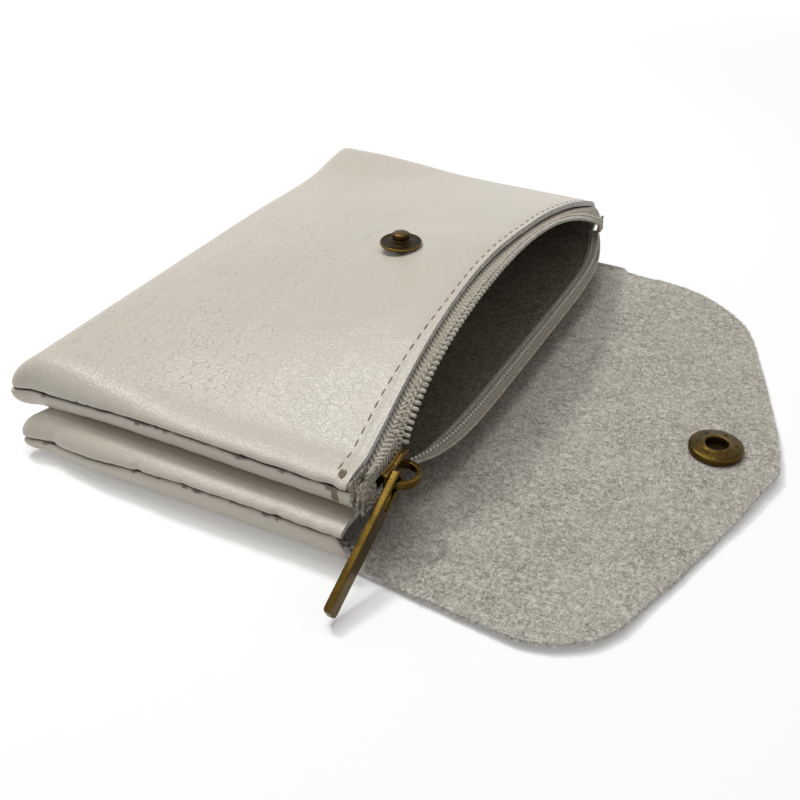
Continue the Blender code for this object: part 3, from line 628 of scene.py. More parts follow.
# Card pocket: the second pouch's upper leather, under the zip pouch, sewn to the back leather on
# three sides and turned. Its mouth is a bare cut edge.
CARD_SEAM = 4.0 * MM
NEAR_SEAM_RISE = 3.2 * MM
FAR_SEAM_DROP = 1.6 * MM
CARD_SEAM_LENGTH = 44.0 * MM
NEAR_BULGE = 1.0 * MM
NEAR_BULGE_Y = (-48.0 * MM, -64.0 * MM)
MIDDLE_BULGE = 1.6 * MM
MIDDLE_BULGE_X = (CARD_BOTTOM_X, -16.0 * MM)
MOUTH_BULGE_LOSS = 0.6 * MM
MOUTH_BULGE_X = (-5.0 * MM, 35.0 * MM)
FAR_DRAW_SHARE = 0.045
FAR_DRAW_X = (10.0 * MM, 38.0 * MM)
CARD_MOUTH_REACH = 2.6 * MM


def card_seam_height(x, y):
    """The seam rides up towards the mouth on the near side and sinks there on the far side."""
    rise = NEAR_SEAM_RISE if y < 0 else -FAR_SEAM_DROP
    return CARD_SEAM + rise * smoothstep((x - CARD_BOTTOM_X) / CARD_SEAM_LENGTH)


def card_side(x, y):
    """The near side bulges past the seam of the zip pouch and the far side draws in at the mouth."""
    if y < 0:
        bulge = NEAR_BULGE + MIDDLE_BULGE * between(x, *MIDDLE_BULGE_X)
        bulge -= MOUTH_BULGE_LOSS * between(x, *MOUTH_BULGE_X)
        return y - bulge * between(y, *NEAR_BULGE_Y)
    return y * (1.0 - FAR_DRAW_SHARE * between(x, *FAR_DRAW_X))


def card_mouth(y):
    return MOUTH_X + CARD_MOUTH_REACH * arch(y) ** 1.5


def card_point(column, row):
    x, y, lip, share = turned_point(column, row, HALF_CARD, CARD_BOTTOM_X, card_mouth)
    seam = card_seam_height(x, y) + SEAM_GAP
    height = CARD_PUFF - CARD_SAG * pouch_sag(x, y)
    return x, card_side(x, y), seam + lip + (height - seam - LIP_HEIGHT) * share


card_pocket = lay_sheet("card_pocket_leather", COLUMNS, ROWS, card_point)
work_band(card_pocket, 4.1, 0.18 * MM)
mark_seam_shade(card_pocket, 7.3, card_mouth)
give_wall(card_pocket, LEATHER, (grain, shaded_lining, cut_edge), True)
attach(card_pocket, "pouch")
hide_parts("card_pocket_panel")

# Back of the card pouch: the grain side lies on the table, and the suede side is the pocket's floor.
# The same hide goes on past the mouth as the bend and the flap, here to the middle of the bend.
FLAP_SKEW = math.radians(4.5)
FOLD_X = 46.55 * MM
FOLD_Y = -2.5696 * MM
HALF_FLAP = 65.5 * MM
MID_BEND = 4.55 * MM
SEAM_RUN_OUT = 5.0 * MM
OPENING_SHARE = 0.4
FLAT_ROWS = 14
SUEDE_LIGHT = (0.740, 0.705, 0.625)
SUEDE_DARK = (0.310, 0.285, 0.240)
flap_suede = suede_material("flap_suede", SUEDE_LIGHT, SUEDE_DARK, 0.0006)


def flap_point(reach, across, height=0.0):
    """A point of the flap, from its distance past the fold, across it and off the table."""
    cos, sin = math.cos(FLAP_SKEW), math.sin(FLAP_SKEW)
    return FOLD_X + reach * cos + across * sin, FOLD_Y - reach * sin + across * cos, height


def fold_line(y):
    return FOLD_X + (y - FOLD_Y) * math.tan(FLAP_SKEW)


def seam_end(y):
    return fold_line(y) - SEAM_RUN_OUT


def back_point(column, row):
    """The turned hide as far as the mouth, where its edges open out flat into the bend."""
    x, y, lip, share = turned_point(column, min(row, ROWS), HALF_CARD, CARD_BOTTOM_X, seam_end)
    seam = card_seam_height(x, y) - SEAM_GAP
    turned = Vector((x, card_side(x, y), seam - lip - (seam - LIP_HEIGHT) * share))
    if row <= ROWS:
        return turned
    ring = min(column, COLUMNS - column, ROLL_STEPS)
    even_y = math.copysign(HALF_CARD - ROLL_WIDTH * ring / ROLL_STEPS, y)
    across = (even_y if ring < ROLL_STEPS else y) * HALF_FLAP / HALF_CARD
    step = (row - ROWS) / FLAT_ROWS
    flat = Vector(flap_point(-SEAM_RUN_OUT + (MID_BEND + SEAM_RUN_OUT) * step, across))
    turned.x += (MID_BEND + SEAM_RUN_OUT) * step
    return turned.lerp(flat, smoothstep(step / OPENING_SHARE))


back_leather = lay_sheet("back_leather", COLUMNS, ROWS + FLAT_ROWS, back_point)
mark_seam_shade(back_leather, 9.6, seam_end)
give_wall(back_leather, LEATHER, (grain, flap_suede, cut_edge), False)
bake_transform(back_leather)
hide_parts("back_panel", "flap_bend")

# Flap: the rest of the same hide, suede side up while it lies open. Its cut edge is bare, with an
# arced tip and round shoulders, and the leather stands off the table where it rests on the cap.
SOCKET_REACH = 41.851 * MM
FLAP_REACH = 54.551 * MM
NEAR_EDGE_DROP = 13.0 * MM
FAR_EDGE_DROP = 28.0 * MM
NEAR_SHOULDER = 13.0 * MM
FAR_SHOULDER = 18.0 * MM
CAP_LIFT = 1.2 * MM
CAP_LIFT_RADII = (8.0 * MM, 30.0 * MM)
SHOULDER_CURL = 0.5 * MM
CURL_ACROSS = (-30.0 * MM, -64.0 * MM)
CURL_REACH = (14.0 * MM, 40.0 * MM)
LOOSE_LIFT = 0.25 * MM
LOOSE_REACH = (6.0 * MM, 18.0 * MM)
CUT_WAVER = 0.25 * MM
FLAP_COLUMNS = 220
FLAP_ROWS = 84


def flap_outline(across):
    """How far past the fold the flap reaches: an arc that falls off more on the far side."""
    half = min(abs(across), HALF_FLAP)
    drop, shoulder = (NEAR_EDGE_DROP, NEAR_SHOULDER) if across < 0 else (FAR_EDGE_DROP, FAR_SHOULDER)
    reach = FLAP_REACH - drop * (half / HALF_FLAP) ** 1.2
    left = HALF_FLAP - half
    if left < shoulder:
        reach -= shoulder * (1.0 - math.sqrt(1.0 - (1.0 - left / shoulder) ** 2))
    return reach + CUT_WAVER * uneven(across, 0.0, 4.0 * MM, 2.7)


def flap_height(reach, across):
    """The leather rests on the cap, its near shoulder curls up a little, and it isn't quite flat."""
    away = math.hypot(reach - SOCKET_REACH, across)
    lift = CAP_LIFT * (1.0 - between(away, *CAP_LIFT_RADII))
    curl = SHOULDER_CURL * between(across, *CURL_ACROSS) * between(reach, *CURL_REACH)
    loose = between(reach, *LOOSE_REACH)
    return lift + curl + loose * LOOSE_LIFT * (1.0 + uneven(reach, across, 21.0 * MM, 5.5))


def flap_grid_point(column, row):
    across = HALF_FLAP * math.sin((-1.0 + 2.0 * column / FLAP_COLUMNS) * math.pi / 2)
    reach = MID_BEND + (flap_outline(across) - MID_BEND) * row / FLAP_ROWS
    return flap_point(reach, across, flap_height(reach, across))


flap_leather = lay_sheet("flap_leather", FLAP_COLUMNS, FLAP_ROWS, flap_grid_point)
give_wall(flap_leather, LEATHER, (grain, flap_suede, cut_edge), False)
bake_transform(flap_leather)
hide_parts("flap")

# Nap of the flap: loose fibres all over the suede side, most of them brushed one way, and the fringe
# that stands out from its cut edge. Each fibre is a thin spike with its root in the hide.
NAP_COUNT = 21000
BEND_NAP_COUNT = 2600
FRINGE_COUNT = 5200
FIBRE_LIGHT = (0.80, 0.775, 0.70)
FIBRE_DARK = (0.36, 0.33, 0.28)


def fibre_material():
    """Loose fibre ends, light and dark in patches."""
    made, tree, shader, place = new_material("suede_fibre", 0.9)
    tone = soft_step(tree, noise_field(tree, place, 1900.0, 1.0), 0.38, 0.58)
    connect(tree, mixed_colour(tree, tone, FIBRE_DARK, FIBRE_LIGHT), shader.inputs["Base Color"])
    shader.inputs["Specular IOR Level"].default_value = 0.2
    return made


def spike(point, direction, length, width, corners, faces):
    """A thin three-sided spike with its root at a point."""
    side = direction.cross(Vector((0.0, 0.0, 1.0))).normalized() * (width / 2)
    first = len(corners)
    corners.extend((point - side, point + side, point + Vector((0.0, 0.0, width * 0.7))))
    corners.append(point + direction * length)
    for face in ((0, 1, 2), (0, 3, 1), (1, 3, 2), (2, 3, 0)):
        faces.append(tuple(first + corner for corner in face))


def new_object(name, data):
    made = bpy.data.objects.new(name, data)
    bpy.context.scene.collection.objects.link(made)
    return made


def fibre_piece(name, corners, faces, finish):
    mesh = bpy.data.meshes.new(name)
    mesh.from_pydata(corners, [], faces)
    mesh.materials.append(finish)
    return new_object(name, mesh)


def scattered_nap(seed, count, low_reach, high_reach, surface):
    """Fibres all over a part of the flap, mostly brushed one way."""
    chance = random.Random(seed)
    corners, faces = [], []
    while len(corners) < 4 * count:
        across = chance.uniform(-HALF_FLAP, HALF_FLAP)
        reach = chance.uniform(low_reach, high_reach)
        if reach > flap_outline(across) - 0.2 * MM:
            continue
        root = Vector(flap_point(reach, across, surface(reach, across) + LEATHER - 0.04 * MM))
        heading = chance.gauss(-0.55, 0.9)
        lift = chance.uniform(0.03, 0.34)
        direction = Vector((math.cos(heading), math.sin(heading), lift)).normalized()
        length, width = chance.uniform(0.5, 1.5) * MM, chance.uniform(0.07, 0.13) * MM
        spike(root, direction, length, width, corners, faces)
    return corners, faces


def edge_fringe(seed, count):
    """Fibres that stand out from the cut edge of the flap."""
    chance = random.Random(seed)
    corners, faces = [], []
    for _ in range(count):
        across = HALF_FLAP * math.sin(chance.uniform(-1.0, 1.0) * math.pi / 2)
        if chance.random() < 0.34:
            across = math.copysign(HALF_FLAP, chance.uniform(-1.0, 1.0))
            reach = chance.uniform(MID_BEND, flap_outline(across))
            outward = Vector(flap_point(0.0, across)) - Vector(flap_point(0.0, 0.0))
        else:
            reach = flap_outline(across)
            rise = flap_outline(across + 0.4 * MM) - flap_outline(across - 0.4 * MM)
            ahead = Vector(flap_point(0.8 * MM, 0.0)) - Vector(flap_point(0.0, 0.0))
            aside = Vector(flap_point(0.0, -rise)) - Vector(flap_point(0.0, 0.0))
            outward = ahead + aside
        outward.normalize()
        level = chance.uniform(0.25, 1.0) ** 0.5
        root = Vector(flap_point(reach, across, flap_height(reach, across) + LEATHER * level))
        spread = Vector((chance.gauss(0.0, 0.5), chance.gauss(0.0, 0.5), chance.gauss(0.0, 0.22)))
        direction = (outward + spread).normalized()
        root -= outward * 0.12 * MM
        length, width = chance.uniform(0.25, 0.85) * MM, chance.uniform(0.06, 0.12) * MM
        spike(root, direction, length, width, corners, faces)
    return corners, faces


suede_fibre = fibre_material()
flap_nap = fibre_piece(
    "flap_nap", *scattered_nap(11, NAP_COUNT, MID_BEND + 0.2 * MM, FLAP_REACH, flap_height), suede_fibre
)
flap_fringe = fibre_piece("flap_fringe", *edge_fringe(12, FRINGE_COUNT), suede_fibre)
for piece in (flap_nap, flap_fringe):
    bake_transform(piece)
bend_nap = fibre_piece(
    "bend_nap", *scattered_nap(13, BEND_NAP_COUNT, -5.0 * MM, MID_BEND, lambda reach, across: 0.0),
    suede_fibre
)
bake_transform(bend_nap)

# Zip tapes: greige herringbone polyester, one sewn under each lip of the mouth. The front one stands
# up with the gaping leather. The back one folds over its chain, and both run through the slider.
TAPE_THICKNESS = 0.5 * MM
FRONT_UNDER_LEATHER = 4.0 * MM
BACK_OVER_LEATHER = 0.7 * MM
TAPE_NEAR = -60.2 * MM
TAPE_FAR = 61.6 * MM
TAPES_MEET = 2.4 * MM
TAPE_EDGE_HALF = 1.2 * MM
TAPE_BOW = 0.35 * MM
CHAIN_X = 39.95 * MM
CHAIN_HALF = 1.7 * MM
FRONT_CHAIN_LEAN = 0.4 * MM
FRONT_CHAIN_RISE = 16.4 * MM
BACK_CHAIN_REACH = 4.6 * MM
BACK_CHAIN_DROP = 3.9 * MM
TAPE_COLUMNS = 330
UNDER_ROWS = 3
TAPE_ROWS = 14
TAPE_THREAD = (0.62, 0.575, 0.48)
TAPE_GAP = (0.19, 0.165, 0.125)
CHAIN_THREAD = (0.47, 0.43, 0.355)
CHAIN_GAP = (0.34, 0.305, 0.245)
HERRINGBONE_BAND = 2.9 * MM
THREAD_PITCH = 1.1 * MM


def front_chain(y):
    """The front chain stands up in an arch, steeper beside the slider."""
    half, power = (-ZIP_START, 0.6) if y < 0 else (ZIP_END, 1.0)
    rise = max(0.0, 1.0 - (y / half) ** 2) ** power
    height = ZIP_SEAM + CHAIN_HALF + FRONT_CHAIN_RISE * rise
    return Vector((CHAIN_X - FRONT_CHAIN_LEAN * rise, y, height))


def back_chain(y):
    """The back chain hangs down and out along the same length as its leather."""
    drop = back_drop(y)
    height = ZIP_SEAM - CHAIN_HALF - BACK_CHAIN_DROP * drop
    return Vector((CHAIN_X + BACK_CHAIN_REACH * drop, y, height))


def under_lip(front, y, inset):
    """A point of the tape under or on the leather, behind the leather's cut edge."""
    if front:
        x = front_mouth(y) - inset
        return Vector((x, y, front_height(x, y) - LEATHER - 0.42 * MM))
    x = back_mouth(y) - inset
    return Vector((x, y, zip_back_height(x, y) + LEATHER + 0.3 * MM))


def past_chain(y):
    """0 along the open chains and 1 where the tapes lie together past their ends."""
    return smoothstep((ZIP_START + 0.6 * MM - y) / TAPES_MEET) + smoothstep((y - ZIP_END) / TAPES_MEET)


def bent_between(first, middle, last, share):
    """A point of the curve from first to last that is drawn towards middle."""
    return first * (1.0 - share) ** 2 + middle * (2.0 * share * (1.0 - share)) + last * share ** 2


def front_tape_point(y, share):
    """The front tape from the lip to its chain, bowed out a little."""
    lip, past = under_lip(True, y, 0.0), past_chain(y)
    edge = front_chain(y).lerp(Vector((CHAIN_X, y, ZIP_SEAM + TAPE_EDGE_HALF)), past)
    middle = ((lip + edge) / 2).lerp(Vector((CHAIN_X - 0.7 * MM, y, ZIP_SEAM + 4.0 * MM)), past)
    middle += Vector((TAPE_BOW, 0.0, TAPE_BOW)) * (1.0 - past)
    return bent_between(lip, middle, edge, share)


def back_ridge(y):
    """The line where the back tape folds over its chain."""
    return back_chain(y) + Vector((-1.0, 0.0, 1.3)) * MM * (0.15 + 0.85 * back_drop(y))


def back_edge(y):
    """The edge of the back tape, below its chain."""
    low = back_chain(y) + Vector((0.1, 0.0, -0.3)) * MM * back_drop(y)
    return low.lerp(Vector((CHAIN_X, y, ZIP_SEAM - TAPE_EDGE_HALF)), past_chain(y))


def back_tape_point(y, share):
    """The back tape from the lip to its edge, rounded over the ridge between share 0.3 and 0.7."""
    lip, ridge, edge = under_lip(False, y, 0.0), back_ridge(y), back_edge(y)
    flat = lip.lerp(ridge, share / 0.5) if share < 0.5 else ridge.lerp(edge, share / 0.5 - 1.0)
    rounded = bent_between(lip.lerp(ridge, 0.6), ridge, ridge.lerp(edge, 0.4), (share - 0.3) / 0.4)
    return rounded if 0.3 < share < 0.7 else flat


def tape_place(front):
    """The front or the back tape, from its hidden edge on the leather to its chain."""

    def place(column, row):
        y = TAPE_NEAR + (TAPE_FAR - TAPE_NEAR) * column / TAPE_COLUMNS
        if row < UNDER_ROWS:
            hidden = FRONT_UNDER_LEATHER if front else BACK_OVER_LEATHER
            return under_lip(front, y, hidden * (1.0 - row / UNDER_ROWS))
        share = (row - UNDER_ROWS) / (TAPE_ROWS - UNDER_ROWS)
        return front_tape_point(y, share) if front else back_tape_point(y, share)

    return place


def mark_weave(sheet, columns, rows):
    """Notes how far each point lies along the cloth and across it, so that the weave follows it."""
    along = sheet.data.attributes.new("along", "FLOAT", "POINT")
    across = sheet.data.attributes.new("across", "FLOAT", "POINT")
    points = [vert.co for vert in sheet.data.vertices]
    middle = rows // 2 * (columns + 1)
    run = 0.0
    for column in range(columns + 1):
        if column:
            run += (points[middle + column] - points[middle + column - 1]).length
        width = 0.0
        for row in range(rows + 1):
            here = row * (columns + 1) + column
            if row:
                width += (points[here] - points[here - columns - 1]).length
            along.data[here].value = run
            across.data[here].value = width


def herringbone_group():
    """Slanted threads, turned the other way in every other band, a little loose and hairy."""
    group, given, end = new_group("herringbone", ["Weave"], ["Along", "Across"])
    waver = noise_field(group, given["Vector"], 700.0, 2.0)
    loose = maths(group, "MULTIPLY_ADD", waver, 0.00035, given["Along"])
    folded = maths(group, "PINGPONG", given["Across"], HERRINGBONE_BAND / 2)
    slant = maths(group, "ADD", loose, maths(group, "MULTIPLY", folded, 0.9))
    thread = maths(group, "SINE", maths(group, "MULTIPLY", slant, math.tau / THREAD_PITCH))
    thread = maths(group, "MULTIPLY_ADD", thread, 0.5, 0.5)
    hairs = maths(group, "MULTIPLY", noise_field(group, given["Vector"], 2400.0, 3.0, 0.65), 0.6)
    connect(group, maths(group, "ADD", maths(group, "MULTIPLY", thread, 0.66), hairs), end["Weave"])
    return group


herringbone = herringbone_group()


def woven_material(name, light, dark):
    made, tree, shader, place = new_material(name, 0.88)
    cloth_place = (attribute_value(tree, "along"), attribute_value(tree, "across"))
    weave = placed_group(tree, herringbone, place, cloth_place)["Weave"]
    shade = soft_step(tree, weave, 0.18, 0.72)
    connect(tree, mixed_colour(tree, shade, dark, light), shader.inputs["Base Color"])
    shader.inputs["Specular IOR Level"].default_value = 0.2
    relief(tree, shader, weave, 0.0003)
    return made


tape_weave = woven_material("tape_weave", TAPE_THREAD, TAPE_GAP)
chain_weave = woven_material("chain_weave", CHAIN_THREAD, CHAIN_GAP)
for label, is_front, weave in (("front", True, tape_weave), ("back", False, chain_weave)):
    tape = lay_sheet(f"zip_tape_{label}_woven", TAPE_COLUMNS, TAPE_ROWS, tape_place(is_front))
    mark_weave(tape, TAPE_COLUMNS, TAPE_ROWS)
    give_wall(tape, TAPE_THICKNESS, (weave, weave, weave), True)
    fit_to_pouch(tape, "zip_tape", f"zip_tape_{label}")

# Front zip chain: a coil of greige nylon sewn along the tape's edge. Each turn shows as a rounded
# tooth, with a cream loop of sewing thread over its foot and a slanted stitch behind that.
TOOTH_PITCH = 1.25 * MM
TOOTH_SIZE = (0.78 * MM, 1.55 * MM, 0.85 * MM)
TOOTH_ROUNDING = 0.30 * MM
LOOP_RADIUS = 0.46 * MM
LOOP_THREAD_RADIUS = 0.17 * MM
BACK_STITCH_SIZE = (0.17 * MM, 0.55 * MM, 0.17 * MM)
TOOTH_COLOUR = (0.58, 0.545, 0.47)
THREAD_COLOUR = (0.64, 0.59, 0.48)


def nylon_group():
    """Nylon and thread: a soft change of tone and a very fine relief."""
    group, given, end = new_group("nylon_surface", ["Tone", "Relief"])
    tone = noise_field(group, given["Vector"], 900.0, 3.0)
    connect(group, soft_step(group, tone, 0.30, 0.62), end["Tone"])
    connect(group, noise_field(group, given["Vector"], 5200.0, 2.0), end["Relief"])
    return group


nylon_surface = nylon_group()


def nylon_material(name, colour, roughness, shade=0.62):
    """Nylon of one colour, which goes down to a share of itself in the darker patches."""
    made, tree, shader, place = new_material(name, roughness)
    surface = placed_group(tree, nylon_surface, place)
    deep = tuple(part * shade for part in colour)
    connect(tree, mixed_colour(tree, surface["Tone"], deep, colour), shader.inputs["Base Color"])
    relief(tree, shader, surface["Relief"], 0.00005)
    return made


tooth_nylon = nylon_material("tooth_nylon", TOOTH_COLOUR, 0.45)
loop_thread = nylon_material("loop_thread", THREAD_COLOUR, 0.75)


def shaped_part(part, finish, size, turn=(0.0, 0.0, 0.0)):
    """Scales and turns a new primitive about its own place, and gives it its finish."""
    middle = part.location.copy()
    part.data.transform(Matrix.Diagonal((*size, 1.0)))
    for axis, angle in zip("XYZ", turn):
        part.data.transform(Matrix.Rotation(angle, 4, axis))
    part.data.transform(Matrix.Translation(middle))
    part.location = (0.0, 0.0, 0.0)
    part.data.materials.append(finish)
    return part


def joined_parts(parts, name, smooth=50.0):
    """One piece from several, with its faces smooth up to an angle in degrees."""
    bpy.ops.object.select_all(action="DESELECT")
    for part in parts:
        part.select_set(True)
    bpy.context.view_layer.objects.active = parts[0]
    if len(parts) > 1:
        bpy.ops.object.join()
    whole = bpy.context.object
    whole.name = name
    whole.data.name = name
    bpy.ops.object.shade_smooth_by_angle(angle=math.radians(smooth))
    return whole


def tooth_pattern():
    """One turn of the coil at the origin: x along the zip, y out over the mouth, z off the tape."""
    block = new_primitive(bpy.ops.mesh.primitive_cube_add, size=1.0, location=(0.0, 0.50 * MM, 0.05 * MM))
    coil = shaped_part(block, tooth_nylon, TOOTH_SIZE)
    rounding = coil.modifiers.new("rounding", "BEVEL")
    rounding.width = TOOTH_ROUNDING
    rounding.segments = 2
    bpy.ops.object.modifier_apply(modifier="rounding")
    ring = new_primitive(
        bpy.ops.mesh.primitive_torus_add, major_segments=10, minor_segments=6,
        major_radius=LOOP_RADIUS, minor_radius=LOOP_THREAD_RADIUS, location=(0.0, -0.60 * MM, 0.42 * MM)
    )
    loop = shaped_part(ring, loop_thread, (0.95, 1.30, 1.0), (0.30, 0.0, 0.45))
    thread_ball = new_primitive(
        bpy.ops.mesh.primitive_uv_sphere_add, segments=7, ring_count=5, radius=1.0,
        location=(0.1 * MM, -1.55 * MM, 0.18 * MM)
    )
    back_stitch = shaped_part(thread_ball, loop_thread, BACK_STITCH_SIZE, (0.0, 0.0, 0.75))
    return joined_parts([coil, loop, back_stitch], "tooth_pattern")


def even_steps(path, low, high, pitch):
    """Places along a path, given as y, at equal distances measured on the path itself."""
    places, left, y = [], pitch / 2, low
    step = 0.02 * MM
    while y < high:
        length = (path(y + step) - path(y)).length
        if length >= left:
            places.append(y + step * left / length)
            left += pitch
        left -= length
        y += step
    return places


def standing(x_axis, y_axis, z_axis, place):
    """Turns a pattern's own axes to three directions and puts it in its place."""
    return Matrix.Translation(place) @ Matrix((x_axis, y_axis, z_axis)).transposed().to_4x4()


def chain_frame(y):
    """Where one turn of the coil stands: its length across the mouth, its foot on the tape."""
    centre = front_chain(y)
    along = (front_chain(y + 0.1 * MM) - front_chain(y - 0.1 * MM)).normalized()
    out = centre - front_tape_point(y, 0.6)
    out = (out - along * out.dot(along)).normalized()
    return standing(-along, out, out.cross(along), centre)


def copied_along(pattern, name, places):
    """One piece from many copies of a small pattern, each put in its place."""
    copies = []
    for place in places:
        copy = pattern.copy()
        copy.data = pattern.data.copy()
        copy.data.transform(place)
        bpy.context.scene.collection.objects.link(copy)
        copies.append(copy)
    bpy.data.objects.remove(pattern)
    bpy.ops.object.select_all(action="DESELECT")
    for copy in copies:
        copy.select_set(True)
    bpy.context.view_layer.objects.active = copies[0]
    bpy.ops.object.join()
    joined = bpy.context.object
    joined.name = name
    joined.data.name = name
    return joined


tooth_steps = even_steps(front_chain, ZIP_START + 0.2 * MM, ZIP_END, TOOTH_PITCH)
tooth_places = [chain_frame(y) for y in tooth_steps]
front_coil = copied_along(tooth_pattern(), "zip_chain_front", tooth_places)
fit_to_pouch(front_coil, "zip_teeth", "zip_teeth_front")

# Back zip chain, seen from its plain side: the coil's turns show as a row of small white dots on the
# fold of the tape, with a thin cream cord inside them and a twisted cord along the tape's edge.
DOT_PITCH = 1.1 * MM
DOT_SIZE = (0.36 * MM, 0.36 * MM, 0.32 * MM)
INNER_CORD_RADIUS = 0.20 * MM
INNER_CORD_PITCH = 1.3 * MM
EDGE_CORD_RADIUS = 0.32 * MM
EDGE_CORD_PITCH = 0.75 * MM
DOT_COLOUR = (0.70, 0.68, 0.61)
CORD_COLOUR = (0.47, 0.43, 0.34)
dot_nylon = nylon_material("dot_nylon", DOT_COLOUR, 0.40, 0.8)
edge_thread = nylon_material("edge_thread", CORD_COLOUR, 0.65, 0.6)


def dot_pattern():
    ball = new_primitive(bpy.ops.mesh.primitive_uv_sphere_add, segments=8, ring_count=6, radius=1.0)
    dot = shaped_part(ball, dot_nylon, DOT_SIZE)
    return joined_parts([dot], "dot_pattern", 80.0)


def closed_round(sheet):
    """Joins the first and last column of a sheet that goes all the way round."""
    bpy.ops.object.mode_set(mode="EDIT")
    bpy.ops.mesh.select_all(action="SELECT")
    bpy.ops.mesh.remove_doubles(threshold=0.001 * MM)
    bpy.ops.mesh.normals_make_consistent(inside=False)
    bpy.ops.object.mode_set(mode="OBJECT")
    return sheet


def twisted_cord(name, path, radius, pitch, step, finish):
    """Two strands twisted round each other along a path, drawn together at the chain's ends."""
    count = round((ZIP_END - ZIP_START) / step)
    sides = 10

    def place(column, row):
        y = ZIP_START + (ZIP_END - ZIP_START) * row / count
        along = (path(y + 0.1 * MM) - path(y - 0.1 * MM)).normalized()
        first = along.cross(Vector((0.0, 0.0, 1.0))).normalized()
        second = first.cross(along)
        angle = math.tau * column / sides
        strand = 0.74 + 0.26 * abs(math.cos(angle - math.pi * y / pitch))
        size = radius * strand * (0.0 if row in (0, count) else 1.0)
        return path(y) + first * (size * math.cos(angle)) + second * (size * math.sin(angle))

    cord = closed_round(lay_sheet(name, sides, count, place))
    cord.data.materials.append(finish)
    bpy.ops.object.shade_smooth()
    return cord


def on_ridge(y):
    return back_ridge(y) + Vector((0.10, 0.0, 0.14)) * MM


def inside_ridge(y):
    return under_lip(False, y, 0.0).lerp(back_ridge(y), 0.10) + Vector((0.0, 0.0, 0.15)) * MM


def outside_edge(y):
    return back_edge(y) + Vector((0.16, 0.0, -0.05)) * MM


dot_steps = even_steps(on_ridge, ZIP_START, ZIP_END, DOT_PITCH)
dot_places = [Matrix.Translation(on_ridge(y)) for y in dot_steps]
back_coil = copied_along(dot_pattern(), "zip_chain_back", dot_places)
fit_to_pouch(back_coil, "zip_teeth", "zip_teeth_back")
cream_cord = twisted_cord(
    "chain_inner_cord", inside_ridge, INNER_CORD_RADIUS, INNER_CORD_PITCH, 0.30 * MM, loop_thread
)
edge_cord = twisted_cord(
    "chain_edge_cord", outside_edge, EDGE_CORD_RADIUS, EDGE_CORD_PITCH, 0.13 * MM, edge_thread
)
for cord in (cream_cord, edge_cord):
    fit_to_pouch(cord, "zip_teeth")

# Mouth stitching: one row of taupe thread holds the front lip to its tape, sunk in the leather, and
# the ends of the seams are held by bar tacks beside the mouth's near corner.
STITCH_PITCH = 3.0 * MM
STITCH_LENGTH = 2.7 * MM
STITCH_RADIUS = 0.17 * MM
STITCH_SINK = 0.24 * MM
ROW_START = -62.6 * MM
ROW_END = 62.4 * MM
NEAR_ROW_SETBACK = 1.7 * MM
NEAR_ROW_Y = (-12.0 * MM, -50.0 * MM)
STITCH_COLOUR = (0.205, 0.160, 0.120)
TACK_COLOUR = (0.24, 0.19, 0.115)
stitch_thread = nylon_material("stitch_thread", STITCH_COLOUR, 0.55)
tack_thread = nylon_material("tack_thread", TACK_COLOUR, 0.6)


def stitch_pattern(length, radius, sink, finish):
    """One stitch along x, round in the middle and drawn into the leather at its ends."""
    stitch = new_primitive(
        bpy.ops.mesh.primitive_uv_sphere_add, segments=8, ring_count=8, radius=1.0,
        rotation=(0.0, math.pi / 2, 0.0)
    )
    bpy.ops.object.transform_apply(rotation=True)
    for vert in stitch.data.vertices:
        share = vert.co.x
        vert.co.x = length / 2 * math.copysign(abs(share) ** 0.8, share)
        vert.co.y *= radius * 1.15
        vert.co.z = vert.co.z * radius - sink * abs(share) ** 3
    stitch.data.materials.append(finish)
    bpy.ops.object.shade_smooth()
    return stitch


def front_surface(x, y):
    """Height of the front leather, found from above."""
    found, place, _, _ = zip_front.ray_cast(Vector((x, y, 0.1)), Vector((0.0, 0.0, -1.0)))
    return place.z if found else front_height(x, y)


def front_row_point(y):
    """The stitch row keeps its distance from the lip, and more of it towards the near end."""
    x = front_mouth(y) - STITCH_SETBACK - NEAR_ROW_SETBACK * between(y, *NEAR_ROW_Y)
    return Vector((x, y, front_surface(x, y) - 0.06 * MM))


def row_frame(y):
    """Where one stitch lies: along the row, flat on the leather."""
    along = (front_row_point(y + 0.1 * MM) - front_row_point(y - 0.1 * MM)).normalized()
    side = Vector((0.0, 0.0, 1.0)).cross(along).normalized()
    return standing(along, side, along.cross(side), front_row_point(y))


bpy.context.view_layer.update()
row_steps = even_steps(front_row_point, ROW_START, ROW_END, STITCH_PITCH)
row_places = [row_frame(y) for y in row_steps]
row_stitch = stitch_pattern(STITCH_LENGTH, STITCH_RADIUS, STITCH_SINK, stitch_thread)
mouth_stitches = copied_along(row_stitch, "mouth_stitches", row_places)
fit_to_pouch(mouth_stitches, "zip_tape")

# Each tack's place in millimetres, turn and tilt. The first one lies on top of the front leather.
TACKS = (((35.2, -62.9, None), 0.0, 0.5), ((35.0, -65.05, 13.7), 0.1, 1.5))
TACK_LENGTH = 2.5 * MM
TACK_SINK = 0.12 * MM
TACK_STRANDS = 4
STRAND_SPACING = 0.30 * MM
tack_places = []
for (x, y, z), turn, tilt in TACKS:
    x, y = x * MM, y * MM
    spot = Vector((x, y, front_surface(x, y) if z is None else z * MM))
    lay = Matrix.Translation(spot) @ Matrix.Rotation(tilt, 4, "X")
    for strand in range(TACK_STRANDS):
        beside = Matrix.Translation(((strand - (TACK_STRANDS - 1) / 2) * STRAND_SPACING, 0.0, 0.0))
        lean = turn + 0.10 * math.sin(4.0 * strand + x / MM)
        tack_places.append(lay @ beside @ Matrix.Rotation(math.pi / 2 + lean, 4, "Z"))
tack_stitch = stitch_pattern(TACK_LENGTH, STITCH_RADIUS, TACK_SINK, tack_thread)
bar_tacks = copied_along(tack_stitch, "bar_tacks", tack_places)
